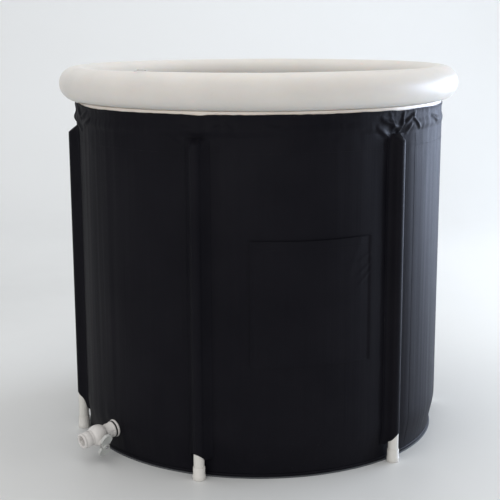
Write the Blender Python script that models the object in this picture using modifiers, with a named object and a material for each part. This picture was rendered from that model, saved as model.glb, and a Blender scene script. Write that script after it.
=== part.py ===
"""A portable ice bath tub: a round soft tub held up by six poles, with an air ring and a drain.

Metres, +Z up. The origin is on the tub's own axis, on the floor. Azimuths are in degrees from
the front (-Y), positive towards +X. The round layers share one faceted outline, which has a
flat facet where the drain goes through, so that each layer lies parallel to the next one.
"""

import math

import bmesh
import bpy
from mathutils import Matrix, Vector

# Fits between pieces, and what all cuts share
FIT_GAP = 0.0003
CUT_OVERRUN = 0.002
MERGE_DISTANCE = 0.00001
SMOOTH_ANGLE = math.radians(35)

# Facets: the round layers, the small round fittings and the poles
WALL_SIDES = 60
FITTING_SIDES = 20
POLE_SIDES = 12

# Soft wall, from outside to inside, measured at the corners of the facets
WALL_RADIUS = 0.372
WALL_TUCK = 0.009
TAPER_MARGIN = 0.0055
SEAM_HEIGHT = 0.633
COVER_THICKNESS = 0.001
WALL_FOAM_THICKNESS = 0.005
LINER_THICKNESS = 0.0008

# Bottom: base sheet, piping round its edge, floor foam
BASE_THICKNESS = 0.0025
BASE_OVERHANG = 0.0025
PIPING_RADIUS = 0.003
PIPING_PROUD = 0.0015
PIPING_SIDES = 6
FLOOR_FOAM_THICKNESS = 0.010

# Gathered band between the seam and the air ring
BAND_HEIGHT = 0.0425
BAND_THICKNESS = 0.001
BAND_COLUMNS = 120
BAND_PINCH = 0.0022
BAND_PINCH_HEIGHT = 0.0088
BAND_LOOSENESS = 0.0004
FOLD_DEPTH = 0.0045
FOLD_SPREAD = math.radians(9)
FOLD_PITCH = math.radians(7.5)
FOLD_LEAN = math.radians(109)
RIPPLE_DEPTH = 0.0011
RIPPLE_COUNT = 31

# Air ring, and the strip that hangs the tub from it
RING_INSET = 0.0014
RING_TUBE_RADIUS = 0.0334
RING_TUBE_SIDES = 16
STRIP_THICKNESS = 0.0012
STRIP_SHOW = 0.0057
STRIP_LAP = 0.0205
WELD_THICKNESS = 0.0012
LINER_DROP = 0.0035

# Inflation valve, on the facet of the ring's tube that lies just inside its top
AIR_VALVE_AZIMUTH = math.radians(-35.5)
NECK_RADIUS = 0.008
NECK_WALL = 0.003
NECK_FLOOR = 0.0015
NECK_DEPTH = 0.008
NECK_RISE = 0.0024
LIP_OVERHANG = 0.0015
LIP_THICKNESS = 0.0015
LUG_REACH = 0.0025
CAP_INSET = 0.0017
CAP_THICKNESS = 0.002
CAP_PLUG_CLEARANCE = 0.001
CAP_PLUG_DEPTH = 0.0045
TONGUE_WIDTH = 0.005
TONGUE_THICKNESS = 0.0012

# Poles, their sleeves and their caps
POLE_COUNT = 6
FIRST_POLE_AZIMUTH = math.radians(-17.5)
POLE_RADIUS = 0.010
POLE_WALL = 0.002
POLE_SLACK = 0.0021
SLEEVE_THICKNESS = 0.001
SLEEVE_MARGIN = 0.010
SLEEVE_BOTTOM = 0.046
SLEEVE_SCOOP = 0.008
SLEEVE_CLOSING = 0.010
SLEEVE_PINCH_SHARE = 0.25
FOOT_WALL = 0.0009
FOOT_STEP = 0.0008
FOOT_STEP_HEIGHT = 0.009
FOOT_HEIGHT = 0.025
FOOT_FLOOR = 0.003
FOOT_CHAMFER = 0.0012
POLE_PLUG_HEAD = 0.003
POLE_PLUG_LENGTH = 0.018
POLE_PLUG_TAPER = 0.001

# Patch pocket between the first two poles, and how far its sides stay from them
POCKET_LEFT = math.radians(14.5)
POCKET_RIGHT = math.radians(9.5)
POCKET_DROP = 0.181
POCKET_HEIGHT = 0.235
POCKET_THICKNESS = 0.0008
POCKET_BELLY = 0.0035
POCKET_ROWS = 6

# Drain: its place on the wall, and its stem's roll about the pipe from straight down
DRAIN_AZIMUTH = math.radians(-50.5)
DRAIN_RISE = 0.0401
STEM_ROLL = math.radians(60)

# Bulkhead fitting through the wall, with its gaskets and inner nut
PORT_RADIUS = 0.0065
SPIGOT_WALL = 0.003
SPIGOT_LENGTH = 0.0155
TAIL_STEP = 0.0009
TAIL_PAST_NUT = 0.003
FLANGE_OVERHANG = 0.003
FLANGE_THICKNESS = 0.004
FLANGE_CHAMFER = 0.0006
GASKET_INSET = 0.002
GASKET_THICKNESS = 0.0025
NUT_WALL = 0.0063
NUT_THICKNESS = 0.007
NUT_SIDES = 6

# Ball valve body and the outlet screwed into it
INLET_WALL = 0.004
BODY_RIM_OVERHANG = 0.0017
BODY_RIM_THICKNESS = 0.003
SPIGOT_STOP = 0.0097
HOUSING_WALL = 0.009
HOUSING_PAST_SEATS = 0.004
HOUSING_SHOULDER_SHARE = 0.28
BODY_COLLAR = 0.0015
BODY_ARC_STEPS = 8
OUTLET_WALL = 0.0033
OUTLET_REACH = 0.018
OUTLET_LIP = 0.0008
SOCKET_STEP = 0.0031
SOCKET_DEPTH = 0.013

# Ball and its seats
BALL_WALL = 0.004
BALL_ROOM = 0.0009
BALL_RINGS = 10
SEAT_WALL = 0.002
SEAT_ARC_STEPS = 3
TANG_WIDTH = 0.003
TANG_LENGTH = 0.008
TANG_DEPTH = 0.0028

# Stem, its seal, the boss round them, and the butterfly handle
STEM_RADIUS = 0.004
SHOULDER_STEP = 0.0015
SHOULDER_HEIGHT = 0.0022
SEAL_WALL = 0.0019
SEAL_THICKNESS = 0.0024
BOSS_WALL = 0.0023
BOSS_RISE = 0.0022
HANDLE_SLIT = 0.0009
HUB_WALL = 0.0025
HUB_ABOVE = 0.0025
LOBE_RAISE = 0.002
LOBE_THICKNESS = 0.006
LOBE_HALF_LENGTH = 0.0285
LOBE_HALF_WIDTH = 0.0105
LOBE_WAIST = 0.0066
LOBE_SWELL_SHARES = (0.04, 0.82)
LOBE_ROUNDING = 0.3
LOBE_POINTS = 10
LOBE_CHAMFER = 0.0008
SCREW_HEAD_RADIUS = 0.0032
SCREW_HEAD_HEIGHT = 0.0018
SCREW_RADIUS = 0.0014
SCREW_LENGTH = 0.008

# Angles that follow from the counts above
HALF_FACET = math.pi / WALL_SIDES
POLE_SPACING = 2 * math.pi / POLE_COUNT
TUBE_STEP = 2 * math.pi / RING_TUBE_SIDES
AIR_VALVE_TURN = math.pi / 2 + TUBE_STEP / 2

# Radii of the drain, from its port outwards
SPIGOT_RADIUS = PORT_RADIUS + SPIGOT_WALL
TAIL_RADIUS = SPIGOT_RADIUS + TAIL_STEP
NUT_RADIUS = TAIL_RADIUS + FIT_GAP + NUT_WALL
INLET_RADIUS = SPIGOT_RADIUS + FIT_GAP + INLET_WALL
BODY_RIM_RADIUS = INLET_RADIUS + BODY_RIM_OVERHANG
FLANGE_RADIUS = BODY_RIM_RADIUS + FLANGE_OVERHANG
GASKET_RADIUS = FLANGE_RADIUS - GASKET_INSET
BALL_RADIUS = PORT_RADIUS + BALL_WALL
CAVITY_RADIUS = BALL_RADIUS + BALL_ROOM
HOUSING_RADIUS = CAVITY_RADIUS + HOUSING_WALL
OUTLET_RADIUS = CAVITY_RADIUS + OUTLET_WALL
SOCKET_RADIUS = PORT_RADIUS + SOCKET_STEP

# Heights and radii of the layers, from the floor up and from outside in
BOTTOM_RADIUS = WALL_RADIUS - WALL_TUCK
FOAM_DEPTH = COVER_THICKNESS + FIT_GAP
LINER_DEPTH = FOAM_DEPTH + WALL_FOAM_THICKNESS + FIT_GAP
INNER_DEPTH = LINER_DEPTH + LINER_THICKNESS
PIPING_HEIGHT = BASE_THICKNESS + FIT_GAP + PIPING_RADIUS
WALL_BOTTOM = PIPING_HEIGHT + PIPING_RADIUS + FIT_GAP
FLOOR_FOAM_TOP = BASE_THICKNESS + FIT_GAP + FLOOR_FOAM_THICKNESS
LINER_BOTTOM = FLOOR_FOAM_TOP + FIT_GAP
DRAIN_HEIGHT = LINER_BOTTOM + LINER_THICKNESS + DRAIN_RISE
TAPER_TOP = DRAIN_HEIGHT + FLANGE_RADIUS + TAPER_MARGIN
TAPER_ANGLE = math.atan2(WALL_TUCK, TAPER_TOP - WALL_BOTTOM)
WALL_THROUGH = INNER_DEPTH * math.cos(HALF_FACET) * math.cos(TAPER_ANGLE)
BAND_TOP = SEAM_HEIGHT + BAND_HEIGHT
STRIP_BOTTOM = BAND_TOP - STRIP_LAP
LINER_TOP = BAND_TOP - LINER_DROP
RING_RADIUS = WALL_RADIUS - RING_INSET
RING_HEIGHT = BAND_TOP + STRIP_SHOW + RING_TUBE_RADIUS

# Places of the poles and the pocket
POLE_PLACE = WALL_RADIUS + FIT_GAP + POLE_RADIUS
SLEEVE_TOP = SEAM_HEIGHT - 2 * FIT_GAP
POLE_PLUG_TOP = SLEEVE_TOP - SLEEVE_CLOSING - POLE_SLACK
POLE_TOP = POLE_PLUG_TOP - POLE_PLUG_HEAD - FIT_GAP
POCKET_TOP = SEAM_HEIGHT - POCKET_DROP
POCKET_BOTTOM = POCKET_TOP - POCKET_HEIGHT

# Places along the pipe, from the cover outwards
FLANGE_FACE = FIT_GAP + FLANGE_THICKNESS
GASKET_PLACE = FLANGE_FACE + FIT_GAP
BODY_START = GASKET_PLACE + GASKET_THICKNESS + FIT_GAP
SPIGOT_END = FLANGE_FACE + SPIGOT_LENGTH
SEAT_BACK = BALL_RADIUS + SEAT_WALL
BALL_PLACE = SPIGOT_END + SPIGOT_STOP + SEAT_BACK
HOUSING_HALF_LENGTH = SEAT_BACK + HOUSING_PAST_SEATS
BODY_END = BALL_PLACE + HOUSING_HALF_LENGTH + BODY_COLLAR
OUTLET_END = BODY_END + OUTLET_REACH

# Radii round the stem, and places along it from the ball's centre
SHOULDER_RADIUS = STEM_RADIUS + SHOULDER_STEP
SEAL_RADIUS = STEM_RADIUS + FIT_GAP + SEAL_WALL
BOSS_RADIUS = SEAL_RADIUS + FIT_GAP + BOSS_WALL
HUB_RADIUS = STEM_RADIUS + FIT_GAP + HUB_WALL
SEAT_BORE = PORT_RADIUS + FIT_GAP
SEAT_LIP = SHOULDER_RADIUS + 2 * FIT_GAP
SHOULDER_BOTTOM = BALL_RADIUS + FIT_GAP
SHOULDER_TOP = SHOULDER_BOTTOM + SHOULDER_HEIGHT
BOSS_TOP = HOUSING_RADIUS + BOSS_RISE
HANDLE_START = BOSS_TOP + HANDLE_SLIT
HANDLE_TOP = HANDLE_START + LOBE_RAISE + LOBE_THICKNESS + HUB_ABOVE


def clear_scene():
    for old in list(bpy.data.objects):
        bpy.data.objects.remove(old, do_unlink=True)


def new_collection(name):
    made = bpy.data.collections.new(name)
    bpy.context.scene.collection.children.link(made)
    return made


def new_material(name, colour, roughness, metallic=0.0):
    made = bpy.data.materials.new(name)
    made.use_nodes = True
    shader = made.node_tree.nodes["Principled BSDF"]
    shader.inputs["Base Color"].default_value = (*colour, 1.0)
    shader.inputs["Roughness"].default_value = roughness
    shader.inputs["Metallic"].default_value = metallic
    made.diffuse_color = (*colour, 1.0)
    return made


clear_scene()
TUB = new_collection("portable_ice_bath")
CUTTERS = new_collection("cutters")


def place(name, mesh, material=None, parent=None, matrix=None):
    """A mesh as an object: a part of the tub with a material, or without one a cutter."""
    made = bpy.data.objects.new(name, mesh)
    if material:
        mesh.materials.append(material)
        TUB.objects.link(made)
    else:
        CUTTERS.objects.link(made)
        made.hide_render = True
        made.display_type = "WIRE"
    made.parent = parent
    if matrix is not None:
        made.matrix_local = matrix
    return made


def add_frame(name, matrix, parent=None):
    """An empty that carries pieces which share an axis."""
    frame = bpy.data.objects.new(name, None)
    TUB.objects.link(frame)
    frame.parent = parent
    frame.matrix_local = matrix
    return frame


def turned(name, profile, sides, material=None, parent=None, turn=0.0, closed=True):
    """A turned piece from (radius, height) points, outer side down. An open one ends on the axis."""
    mesh = bpy.data.meshes.new(name)
    count = len(profile)
    edges = [(i, i + 1) for i in range(count - 1)]
    if closed:
        edges.append((count - 1, 0))
    mesh.from_pydata([(radius, 0.0, height) for radius, height in profile], edges, [])
    made = place(name, mesh, material, parent, Matrix.Rotation(turn, 4, "Z"))
    screw = made.modifiers.new("turn", "SCREW")
    screw.steps = sides
    screw.render_steps = sides
    screw.use_merge_vertices = True
    screw.merge_threshold = MERGE_DISTANCE
    screw.use_smooth_shade = True
    return made


def block(name, low, high, material=None, parent=None):
    """A box between two corners."""
    mesh = bpy.data.meshes.new(name)
    shape = bmesh.new()
    bmesh.ops.create_cube(shape, size=1.0)
    middle = (Vector(low) + Vector(high)) / 2
    size = Vector(high) - Vector(low)
    bmesh.ops.scale(shape, vec=size, verts=shape.verts)
    bmesh.ops.translate(shape, vec=middle, verts=shape.verts)
    shape.to_mesh(mesh)
    shape.free()
    return place(name, mesh, material, parent)


def mapped_sheet(name, columns, rows, place_point, material, wraps=False):
    """A grid of columns and rows whose points are put in place one by one, faces outwards."""
    shape = bmesh.new()
    bmesh.ops.create_grid(shape, x_segments=columns, y_segments=rows, size=1.0)
    for point in shape.verts:
        column = round((point.co.x + 1) / 2 * columns)
        row = round((point.co.y + 1) / 2 * rows)
        point.co = place_point(column, row)
    if wraps:
        bmesh.ops.remove_doubles(shape, verts=shape.verts, dist=MERGE_DISTANCE)
    mesh = bpy.data.meshes.new(name)
    shape.to_mesh(mesh)
    shape.free()
    mesh.shade_smooth()
    return place(name, mesh, material)


def thicken(made, thickness):
    """Gives a sheet its thickness, on its outer side."""
    wall = made.modifiers.new("thickness", "SOLIDIFY")
    wall.thickness = thickness
    wall.offset = 1.0
    wall.use_even_offset = True


def combine(made, other, operation):
    step = made.modifiers.new(operation.lower(), "BOOLEAN")
    step.operation = operation
    step.object = other
    step.solver = "EXACT"


def cut(made, cutter):
    combine(made, cutter, "DIFFERENCE")


def join(made, other):
    combine(made, other, "UNION")


def cylinder_profile(radius, low, high):
    return [(0.0, high), (radius, high), (radius, low), (0.0, low)]


def ring_profile(outer, inner, low, high):
    return [(outer, high), (outer, low), (inner, low), (inner, high)]


def radial(azimuth):
    return Vector((math.sin(azimuth), -math.cos(azimuth), 0.0))


def tangent(azimuth):
    return Vector((math.cos(azimuth), math.sin(azimuth), 0.0))


def frame_matrix(origin, x_axis, z_axis):
    y_axis = z_axis.cross(x_axis)
    turned_axes = Matrix((x_axis, y_axis, z_axis)).transposed().to_4x4()
    return Matrix.Translation(origin) @ turned_axes


# The facets' corners: a facet is centred on the drain
WALL_TURN = DRAIN_AZIMUTH - math.pi / 2 + HALF_FACET


def wall_radius(height):
    """Corner radius of the cover's outer side at a height."""
    share = min(max((height - WALL_BOTTOM) / (TAPER_TOP - WALL_BOTTOM), 0.0), 1.0)
    return BOTTOM_RADIUS + share * (WALL_RADIUS - BOTTOM_RADIUS)


def facet_radius(radius, azimuth):
    """Distance from the axis to the faceted outline of a corner radius, at an azimuth."""
    facet = 2 * HALF_FACET
    offset = (azimuth - DRAIN_AZIMUTH + HALF_FACET) % facet - HALF_FACET
    return radius * math.cos(HALF_FACET) / math.cos(offset)


def wall_side(depth, low, high):
    """The wall's side at a depth inside the cover, from its top down."""
    heights = [high, TAPER_TOP, low]
    return [(wall_radius(height) - depth, height) for height in heights]


def drain_hole_in(made):
    """The round hole that the drain's tail passes through."""
    low = -WALL_THROUGH - CUT_OVERRUN
    profile = cylinder_profile(TAIL_RADIUS + FIT_GAP, low, CUT_OVERRUN)
    cutter = turned(made.name + "_hole", profile, FITTING_SIDES, None, DRAIN, closed=False)
    cut(made, cutter)


# Frames of the drain: along the pipe, and along the stem through the ball's centre
def drain_frames():
    down = -Vector((0.0, 0.0, 1.0))
    outward = radial(DRAIN_AZIMUTH)
    pipe = outward * math.cos(TAPER_ANGLE) + down * math.sin(TAPER_ANGLE)
    hang = (down - pipe * down.dot(pipe)).normalized()
    stem = hang * math.cos(STEM_ROLL) + tangent(DRAIN_AZIMUTH) * math.sin(STEM_ROLL)
    seat = outward * wall_radius(DRAIN_HEIGHT) * math.cos(HALF_FACET)
    seat.z = DRAIN_HEIGHT
    pipe_frame = add_frame("drain_axis", frame_matrix(seat, stem, pipe))
    to_stem = frame_matrix(
        Vector((0.0, 0.0, BALL_PLACE)), Vector((0.0, 0.0, 1.0)), Vector((1.0, 0.0, 0.0))
    )
    return pipe_frame, add_frame("handle_axis", to_stem, pipe_frame)


DRAIN, STEM = drain_frames()

COVER_CLOTH = new_material("black_nylon", (0.011, 0.011, 0.014), 0.5)
FOAM = new_material("pearl_foam", (0.78, 0.79, 0.8), 0.9)
PVC = new_material("white_pvc", (0.69, 0.67, 0.64), 0.35)
PALE_PVC = new_material("pale_pvc", (0.74, 0.66, 0.6), 0.45)
BASE_PVC = new_material("grey_base_pvc", (0.3, 0.32, 0.34), 0.6)
POLE_PLASTIC = new_material("pole_plastic", (0.62, 0.6, 0.57), 0.4)
VALVE_PLASTIC = new_material("valve_plastic", (0.64, 0.62, 0.6), 0.4)
HANDLE_PLASTIC = new_material("handle_plastic", (0.5, 0.51, 0.49), 0.35)
RUBBER = new_material("black_rubber", (0.01, 0.01, 0.01), 0.7)
SEAT_PLASTIC = new_material("seat_plastic", (0.8, 0.8, 0.78), 0.5)
STEEL = new_material("steel", (0.55, 0.55, 0.56), 0.3, 1.0)


def build_base_sheet():
    profile = cylinder_profile(BOTTOM_RADIUS + BASE_OVERHANG, 0.0, BASE_THICKNESS)
    turned("base_sheet", profile, WALL_SIDES, BASE_PVC, None, WALL_TURN, closed=False)


def build_bottom_piping():
    centre = BOTTOM_RADIUS + PIPING_PROUD - PIPING_RADIUS
    step = 2 * math.pi / PIPING_SIDES
    angles = [math.pi / 2 - (i + 0.5) * step for i in range(PIPING_SIDES)]
    profile = [
        (centre + PIPING_RADIUS * math.cos(a), PIPING_HEIGHT + PIPING_RADIUS * math.sin(a))
        for a in angles
    ]
    turned("bottom_piping", profile, WALL_SIDES, COVER_CLOTH, None, WALL_TURN)


def build_floor_foam():
    radius = wall_radius(WALL_BOTTOM) - LINER_DEPTH
    low = BASE_THICKNESS + FIT_GAP
    profile = cylinder_profile(radius, low, FLOOR_FOAM_TOP)
    turned("floor_foam", profile, WALL_SIDES, FOAM, None, WALL_TURN, closed=False)


def wall_layer(name, depth, thickness, top, material):
    """One turned layer of the wall, with the drain's hole through it."""
    outer = wall_side(depth, WALL_BOTTOM, top)
    inner = wall_side(depth + thickness, WALL_BOTTOM, top)
    made = turned(name, outer + inner[::-1], WALL_SIDES, material, None, WALL_TURN)
    drain_hole_in(made)


def build_side_cover():
    wall_layer("side_cover", 0.0, COVER_THICKNESS, SEAM_HEIGHT - FIT_GAP, COVER_CLOTH)


def build_wall_foam():
    wall_layer("wall_foam", FOAM_DEPTH, WALL_FOAM_THICKNESS, SEAM_HEIGHT - FIT_GAP, FOAM)


def build_inner_liner():
    """A pot of sheet that leans out above the foam, to hang from the ring's strip."""
    edge = RING_RADIUS - STRIP_THICKNESS / 2 - FIT_GAP
    outer = [(edge, LINER_TOP), (edge, STRIP_BOTTOM)]
    outer += wall_side(LINER_DEPTH, LINER_BOTTOM, SEAM_HEIGHT)
    inner = [(edge - LINER_THICKNESS, LINER_TOP), (edge - LINER_THICKNESS, STRIP_BOTTOM)]
    inner += wall_side(INNER_DEPTH, LINER_BOTTOM + LINER_THICKNESS, SEAM_HEIGHT)
    floor = [(0.0, LINER_BOTTOM + LINER_THICKNESS)]
    profile = floor + inner[::-1] + outer + [(0.0, LINER_BOTTOM)]
    made = turned("inner_liner", profile, WALL_SIDES, PVC, None, WALL_TURN, closed=False)
    drain_hole_in(made)


def fold_height(azimuth, share):
    """How far the band's folds stand out: deep ones over each pole, small ripples between."""
    away = (azimuth - FIRST_POLE_AZIMUTH + POLE_SPACING / 2) % POLE_SPACING - POLE_SPACING / 2
    near = math.exp(-((away / FOLD_SPREAD) ** 2))
    lean = FOLD_LEAN * share
    fold = 0.5 + 0.5 * math.cos(2 * math.pi * away / FOLD_PITCH + lean)
    ripple = 0.5 + 0.5 * math.sin(RIPPLE_COUNT * azimuth + lean)
    return FOLD_DEPTH * near * fold + RIPPLE_DEPTH * ripple


def build_gathered_band():
    """The loose band of the cover's cloth, pinched in over the foam's edge, with its folds."""
    sewn = WALL_RADIUS - BAND_THICKNESS
    loose = RING_RADIUS + STRIP_THICKNESS / 2 + FIT_GAP + BAND_LOOSENESS
    pinched = SEAM_HEIGHT + BAND_PINCH_HEIGHT
    heights = [SEAM_HEIGHT, pinched, STRIP_BOTTOM, (STRIP_BOTTOM + BAND_TOP) / 2, BAND_TOP]
    radii = [sewn, sewn - BAND_PINCH, loose, loose, loose]
    fold_shares = [0.0, 0.6, 1.0, 0.8, 0.3]

    def point(column, row):
        azimuth = 2 * math.pi * column / BAND_COLUMNS + DRAIN_AZIMUTH + HALF_FACET
        share = row / (len(heights) - 1)
        radius = facet_radius(radii[row], azimuth)
        radius += fold_shares[row] * fold_height(azimuth, share)
        return radial(azimuth) * radius + Vector((0.0, 0.0, heights[row]))

    rows = len(heights) - 1
    made = mapped_sheet("gathered_band", BAND_COLUMNS, rows, point, COVER_CLOTH, wraps=True)
    thicken(made, BAND_THICKNESS)


def tube_point(angle, radius):
    """A point round the air ring's tube, from its outermost point upwards."""
    return (RING_RADIUS + radius * math.cos(angle), RING_HEIGHT + radius * math.sin(angle))


def build_air_ring():
    angles = [math.pi / 2 - i * TUBE_STEP for i in range(RING_TUBE_SIDES)]
    profile = [tube_point(angle, RING_TUBE_RADIUS) for angle in angles]
    made = turned("air_ring", profile, WALL_SIDES, PVC, None, WALL_TURN)
    pocket = cylinder_profile(NECK_RADIUS + FIT_GAP, -NECK_DEPTH - FIT_GAP, CUT_OVERRUN)
    cutter = turned("valve_pocket", pocket, FITTING_SIDES, None, AIR_VALVE, closed=False)
    cut(made, cutter)


def build_ring_strip():
    """The strip below the ring, with the curved flange that is welded to the ring's underside."""
    bottom = -math.pi / 2
    near = RING_TUBE_RADIUS + FIT_GAP
    far = near + WELD_THICKNESS
    half = STRIP_THICKNESS / 2
    under = RING_HEIGHT - far
    profile = [tube_point(bottom - TUBE_STEP, near), tube_point(bottom, near)]
    profile += [tube_point(bottom + TUBE_STEP, near), tube_point(bottom + TUBE_STEP, far)]
    profile += [(RING_RADIUS + half, under), (RING_RADIUS + half, STRIP_BOTTOM)]
    profile += [(RING_RADIUS - half, STRIP_BOTTOM), (RING_RADIUS - half, under)]
    profile += [tube_point(bottom - TUBE_STEP, far)]
    turned("ring_strip", profile, WALL_SIDES, PALE_PVC, None, WALL_TURN)


def air_valve_frame():
    outward = radial(AIR_VALVE_AZIMUTH)
    up = Vector((0.0, 0.0, 1.0))
    axis = outward * math.cos(AIR_VALVE_TURN) + up * math.sin(AIR_VALVE_TURN)
    depth = RING_TUBE_RADIUS * math.cos(TUBE_STEP / 2)
    centre = outward * facet_radius(RING_RADIUS, AIR_VALVE_AZIMUTH) + up * RING_HEIGHT
    return add_frame(
        "air_valve_axis", frame_matrix(centre + axis * depth, tangent(AIR_VALVE_AZIMUTH), axis)
    )


AIR_VALVE = air_valve_frame()


def build_air_valve():
    """A welded neck with a lip and a lug, and a cap with its plug on a short tongue."""
    lip = NECK_RADIUS + LIP_OVERHANG
    bore = NECK_RADIUS - NECK_WALL
    under_lip = NECK_RISE - LIP_THICKNESS
    profile = [(0.0, NECK_FLOOR - NECK_DEPTH), (bore, NECK_FLOOR - NECK_DEPTH)]
    profile += [(bore, NECK_RISE), (lip, NECK_RISE), (lip, under_lip), (NECK_RADIUS, under_lip)]
    profile += [(NECK_RADIUS, -NECK_DEPTH), (0.0, -NECK_DEPTH)]
    neck = turned("air_valve_neck", profile, FITTING_SIDES, PVC, AIR_VALVE, closed=False)
    half = TONGUE_WIDTH / 2
    reach = lip + LUG_REACH
    lug_low = (NECK_RADIUS, -half, under_lip)
    join(neck, block("neck_lug", lug_low, (reach, half, NECK_RISE), None, AIR_VALVE))

    to_hinge = Matrix.Translation((reach, 0.0, NECK_RISE + FIT_GAP / 2))
    hinge = add_frame("air_cap_hinge", to_hinge, AIR_VALVE)
    low = FIT_GAP / 2
    plug = bore - CAP_PLUG_CLEARANCE
    profile = [(0.0, low + CAP_THICKNESS), (lip - CAP_INSET, low + CAP_THICKNESS)]
    profile += [(lip - CAP_INSET, low), (plug, low)]
    profile += [(plug, low - CAP_PLUG_DEPTH), (0.0, low - CAP_PLUG_DEPTH)]
    cap = turned("air_valve_cap", profile, FITTING_SIDES, PVC, hinge, closed=False)
    cap.location = (-reach, 0.0, 0.0)
    tongue_low = (-reach, -half, low)
    join(cap, block("cap_tongue", tongue_low, (0.0, half, low + TONGUE_THICKNESS), None, hinge))


def pole_azimuths():
    return [FIRST_POLE_AZIMUTH + i * POLE_SPACING for i in range(POLE_COUNT)]


def sleeve_section():
    """A sleeve's inner side as (across, outwards) points: seam, side, round front, side, seam."""
    arc = POLE_SIDES // 2
    radius = (POLE_RADIUS + FIT_GAP) / math.cos(math.pi / POLE_SIDES)
    angles = [math.pi * (1 - i / arc) for i in range(arc + 1)]
    round_front = [(radius * math.cos(a), POLE_PLACE + radius * math.sin(a)) for a in angles]
    edge = radius + SLEEVE_MARGIN
    return [(-edge, None), (-radius, None)] + round_front + [(radius, None), (edge, None)]


def build_sleeve(name, azimuth):
    """Cloth sewn to the cover on both sides of a pole, open below and closed flat at the top."""
    heights = [SLEEVE_BOTTOM, TAPER_TOP, SLEEVE_TOP - SLEEVE_CLOSING, SLEEVE_TOP]
    shares = [1.0, 1.0, 1.0, SLEEVE_PINCH_SHARE]
    section = sleeve_section()
    edge = section[-1][0]

    def point(column, row):
        across, outwards = section[column]
        height = heights[row]
        if row == 0:
            height += SLEEVE_SCOOP * (1 - abs(across) / edge)
        here = azimuth + math.atan2(across, WALL_RADIUS)
        wall = facet_radius(wall_radius(height), here) * math.cos(here - azimuth) + FIT_GAP
        if outwards is None:
            outwards = wall
        outwards = wall + shares[row] * (outwards - wall)
        flat = radial(azimuth) * outwards + tangent(azimuth) * across
        return flat + Vector((0.0, 0.0, height))

    sheet = mapped_sheet(name, len(section) - 1, len(heights) - 1, point, COVER_CLOTH)
    thicken(sheet, SLEEVE_THICKNESS)


def build_poles():
    """Plain pipes, each with a cap on its foot and a plug in its top."""
    bore = POLE_RADIUS - POLE_WALL
    pipe = ring_profile(POLE_RADIUS, bore, FOOT_FLOOR + FIT_GAP, POLE_TOP)
    inside = POLE_RADIUS + FIT_GAP
    upper = inside + FOOT_WALL
    lower = upper + FOOT_STEP
    foot = [(0.0, FOOT_FLOOR), (inside, FOOT_FLOOR), (inside, FOOT_HEIGHT), (upper, FOOT_HEIGHT)]
    foot += [(upper, FOOT_STEP_HEIGHT + FOOT_STEP), (lower, FOOT_STEP_HEIGHT)]
    foot += [(lower, FOOT_CHAMFER), (lower - FOOT_CHAMFER, 0.0), (0.0, 0.0)]
    head = POLE_TOP + FIT_GAP
    fit = bore - FIT_GAP
    plug = [(0.0, POLE_PLUG_TOP), (POLE_RADIUS - POLE_PLUG_TAPER, POLE_PLUG_TOP)]
    plug += [(POLE_RADIUS, head), (fit, head), (fit - POLE_PLUG_TAPER, head - POLE_PLUG_LENGTH)]
    plug += [(0.0, head - POLE_PLUG_LENGTH)]
    for number, azimuth in enumerate(pole_azimuths(), start=1):
        facing = frame_matrix(
            radial(azimuth) * POLE_PLACE, tangent(azimuth), Vector((0.0, 0.0, 1.0))
        )
        stand = add_frame(f"pole_{number}_axis", facing)
        turned(f"pole_{number}", pipe, POLE_SIDES, POLE_PLASTIC, stand)
        turned(f"foot_cap_{number}", foot, POLE_SIDES, POLE_PLASTIC, stand, closed=False)
        turned(f"pole_plug_{number}", plug, POLE_SIDES, POLE_PLASTIC, stand, closed=False)
        build_sleeve(f"pole_sleeve_{number}", azimuth)


def build_front_pocket():
    """A patch sewn on three sides, whose open top stands a little off the cover."""
    start = FIRST_POLE_AZIMUTH + POCKET_LEFT
    end = FIRST_POLE_AZIMUTH + POLE_SPACING - POCKET_RIGHT
    facet = 2 * HALF_FACET
    first = math.ceil((start - DRAIN_AZIMUTH - HALF_FACET) / facet)
    corners = [DRAIN_AZIMUTH + HALF_FACET + (first + i) * facet for i in range(WALL_SIDES)]
    azimuths = [start] + [a for a in corners if start < a < end] + [end]

    def point(column, row):
        azimuth = azimuths[column]
        up = row / POCKET_ROWS
        across = (azimuth - start) / (end - start)
        belly = POCKET_BELLY * math.sin(math.pi * across) * up ** 3
        radius = facet_radius(WALL_RADIUS + FIT_GAP, azimuth) + belly
        height = POCKET_BOTTOM + up * (POCKET_TOP - POCKET_BOTTOM)
        return radial(azimuth) * radius + Vector((0.0, 0.0, height))

    sheet = mapped_sheet("front_pocket", len(azimuths) - 1, POCKET_ROWS, point, COVER_CLOTH)
    thicken(sheet, POCKET_THICKNESS)


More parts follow.
